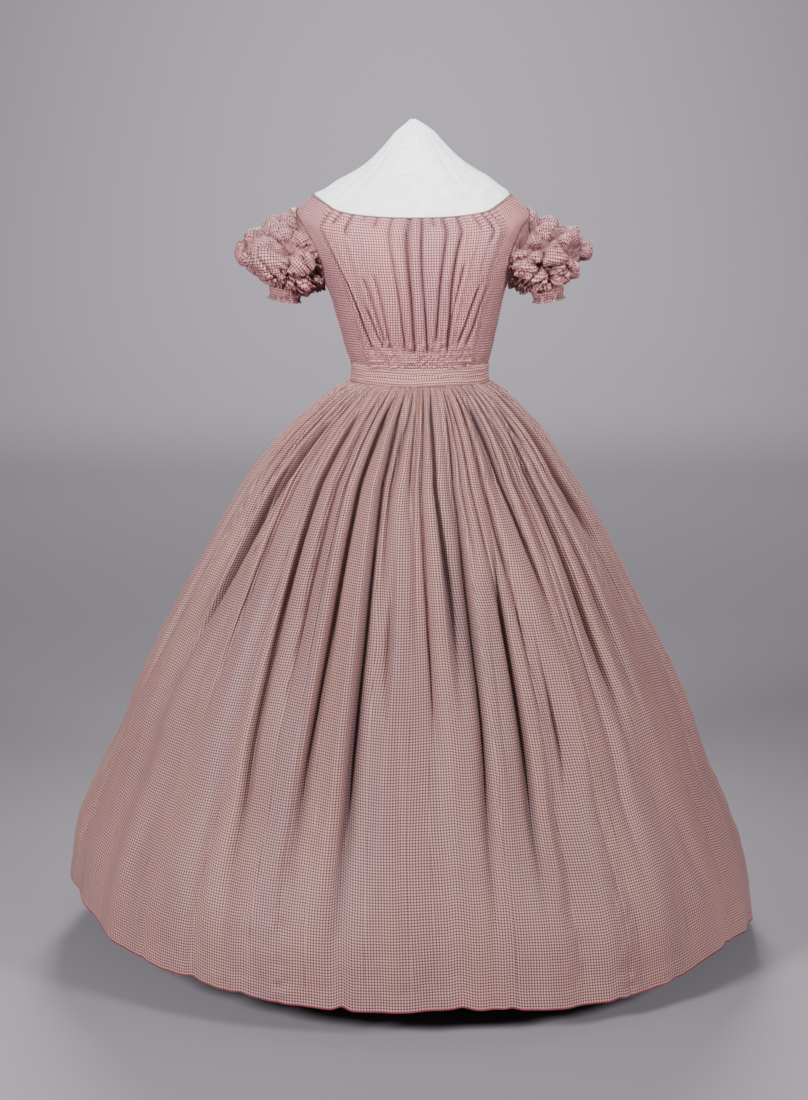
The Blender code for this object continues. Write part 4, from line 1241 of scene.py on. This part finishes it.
def checked_material(name, shade_of=None):
    """Thin crisp cloth with a small two-colour check, faded unevenly along the warp, with
    painted shade that darkens it in its creases."""
    shade = Shade(name)
    u, v, where = cloth_axes(shade)
    warp, warp_line = threads(shade, u)
    weft, weft_line = threads(shade, v)
    check = shade.mix(0.5, warp, weft)
    stretched = shade.node("ShaderNodeMapping", {0: where, 3: (14.0, 1.3, 1.0)}).outputs[0]
    fade = shade.between(shade.noise(stretched, 1.0, 3.0), 0.3, 0.7)
    tint = shade.mix(fade, (0.93, 0.93, 1.00), (1.07, 1.05, 0.98))
    place = shade.node("ShaderNodeTexCoord").outputs["Object"]
    cloud = shade.between(shade.noise(place, 5.0, 3.0), 0.3, 0.7)
    worn = shade.mix(cloud, (0.93, 0.92, 0.93), (1.05, 1.05, 1.04))
    colour = shade.times(shade.times(check, tint), worn)
    if shade_of:
        colour = shade.times(colour, shade_of)
    # painted shade: the cloth deep in its creases is drawn darker
    creased = shade.node("ShaderNodeAttribute", attribute_name="creased").outputs["Fac"]
    colour = shade.times(colour, shade.mix(creased, (1.0, 1.0, 1.0), PAINTED_CREASE_SHADE))
    slubs = shade.noise(where, 900.0, 2.0, 0.6)
    height = shade.math("ADD", shade.math("ADD", warp_line, weft_line), slubs)
    gloss = {
        "Roughness": 0.58,
        "Specular IOR Level": 0.32,
        "Sheen Weight": 0.12,
        "Sheen Roughness": 0.4,
        "Sheen Tint": (0.90, 0.74, 0.68),
    }
    return shade.finish(colour, gloss, height, 0.00018, 0.6)


def woven_material(name, colour, pitch, roughness, sheen=0.1):
    """Plain woven or corded cloth of one colour."""
    shade = Shade(name)
    u, v, where = cloth_axes(shade)
    warp = shade.math("SINE", shade.math("MULTIPLY", u, 2 * math.pi / pitch))
    weft = shade.math("SINE", shade.math("MULTIPLY", v, 2 * math.pi / pitch))
    weave = shade.math("MULTIPLY", warp, weft)
    cloud = shade.between(shade.noise(where, 40.0, 3.0), 0.25, 0.75)
    light = tuple(min(1.0, c * 1.06) for c in colour)
    dark = tuple(c * 0.90 for c in colour)
    gloss = {
        "Roughness": roughness,
        "Specular IOR Level": 0.25,
        "Sheen Weight": sheen,
        "Sheen Roughness": 0.5,
    }
    return shade.finish(shade.mix(cloud, dark, light), gloss, weave, 0.00012, 0.5)


def metal_material(name, colour):
    """Satin dark paint with a faint orange peel and dust."""
    shade = Shade(name)
    place = shade.node("ShaderNodeTexCoord").outputs["Object"]
    dust = shade.between(shade.noise(place, 18.0, 4.0), 0.45, 0.8)
    rough = shade.between(shade.noise(place, 60.0, 2.0), 0.2, 0.8, 0.34, 0.5)
    peel = shade.noise(place, 600.0, 2.0)
    base = shade.mix(dust, colour, tuple(c * 2.2 for c in colour))
    return shade.finish(base, {"Roughness": rough}, peel, 0.00008, 0.3)


# Setting

def floor_and_backdrop():
    """Plain pale floor that sweeps up into a backdrop."""
    half_width, front, curve_start, radius, top = 12.0, -10.0, 7.5, 3.5, 6.5
    profile = [(front, 0.0), (curve_start, 0.0)]
    for k in range(1, 13):
        turn = math.pi / 2 * k / 12
        profile.append((curve_start + radius * math.sin(turn), radius * (1 - math.cos(turn))))
    profile.append((curve_start + radius, top))
    points = np.asarray([[(x, y, z) for x in (-half_width, half_width)] for y, z in profile])
    mesh = bpy.data.meshes.new("floor")
    index = np.arange(len(profile) * 2).reshape(-1, 2)
    faces = [(int(a[0]), int(a[1]), int(b[1]), int(b[0])) for a, b in zip(index, index[1:])]
    mesh.from_pydata(points.reshape(-1, 3).tolist(), [], faces)
    mesh.shade_smooth()
    shade = Shade("pale_floor")
    mesh.materials.append(shade.finish(FLOOR, {"Roughness": 0.9, "Specular IOR Level": 0.1}))
    floor = add_object("floor", mesh)


def area_light(name, place, target, size, power, spread):
    """Soft round light; a grid in front of it narrows its spread."""
    light = bpy.data.lights.new(name, "AREA")
    light.shape = "DISK"
    light.size = size
    light.energy = power
    light.spread = math.radians(spread)
    lamp = add_object(name, light)
    place, target = np.asarray(place, float), np.asarray(target, float)
    look = unit(target - place)
    lamp.location = place
    lamp.rotation_euler = (math.acos(-look[2]), 0.0, math.atan2(look[1], look[0]) - math.pi / 2)


def light_and_camera():
    world = bpy.data.worlds.new("studio")
    world.use_nodes = True
    world.node_tree.nodes["Background"].inputs[0].default_value = (0.92, 0.94, 1.0, 1.0)
    world.node_tree.nodes["Background"].inputs[1].default_value = 0.10
    bpy.context.scene.world = world
    for light in LIGHTS:
        area_light(*light)
    camera = bpy.data.cameras.new("camera")
    camera.sensor_width = 36.0
    camera.lens = FOCAL_PIXELS / IMAGE_HEIGHT * camera.sensor_width
    rig = add_object("camera", camera)
    rig.location = CAMERA_PLACE
    rig.rotation_euler = (math.radians(90 - CAMERA_TILT), 0.0, 0.0)
    bpy.context.scene.camera = rig


def main():
    check = checked_material("checked_cloth_look")
    upper = checked_material("checked_bodice_look", PINKER)
    band = checked_material("checked_band_look", PALER)
    piping = woven_material("piping_look", PIPING, 0.0011, 0.8)
    crimson = woven_material("crimson_braid_look", CRIMSON, 0.0014, 0.75)
    cover = woven_material("white_cover_look", WHITE_COVER, 0.0009, 0.85, 0.05)
    metal = metal_material("dark_metal_look", DARK_METAL)
    form_cover(cover)
    for node in ("form_pole", "form_base"):
        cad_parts[node].material_slots[0].material = metal
    bodice(upper)
    neck_binding(piping)
    waistband(band)
    for side in ("left", "right"):
        cuff = sleeve(side, upper)
        sleeve_band(side, cuff, upper)
    hem_braid(skirt(check), crimson)
    floor_and_backdrop()
    light_and_camera()


main()
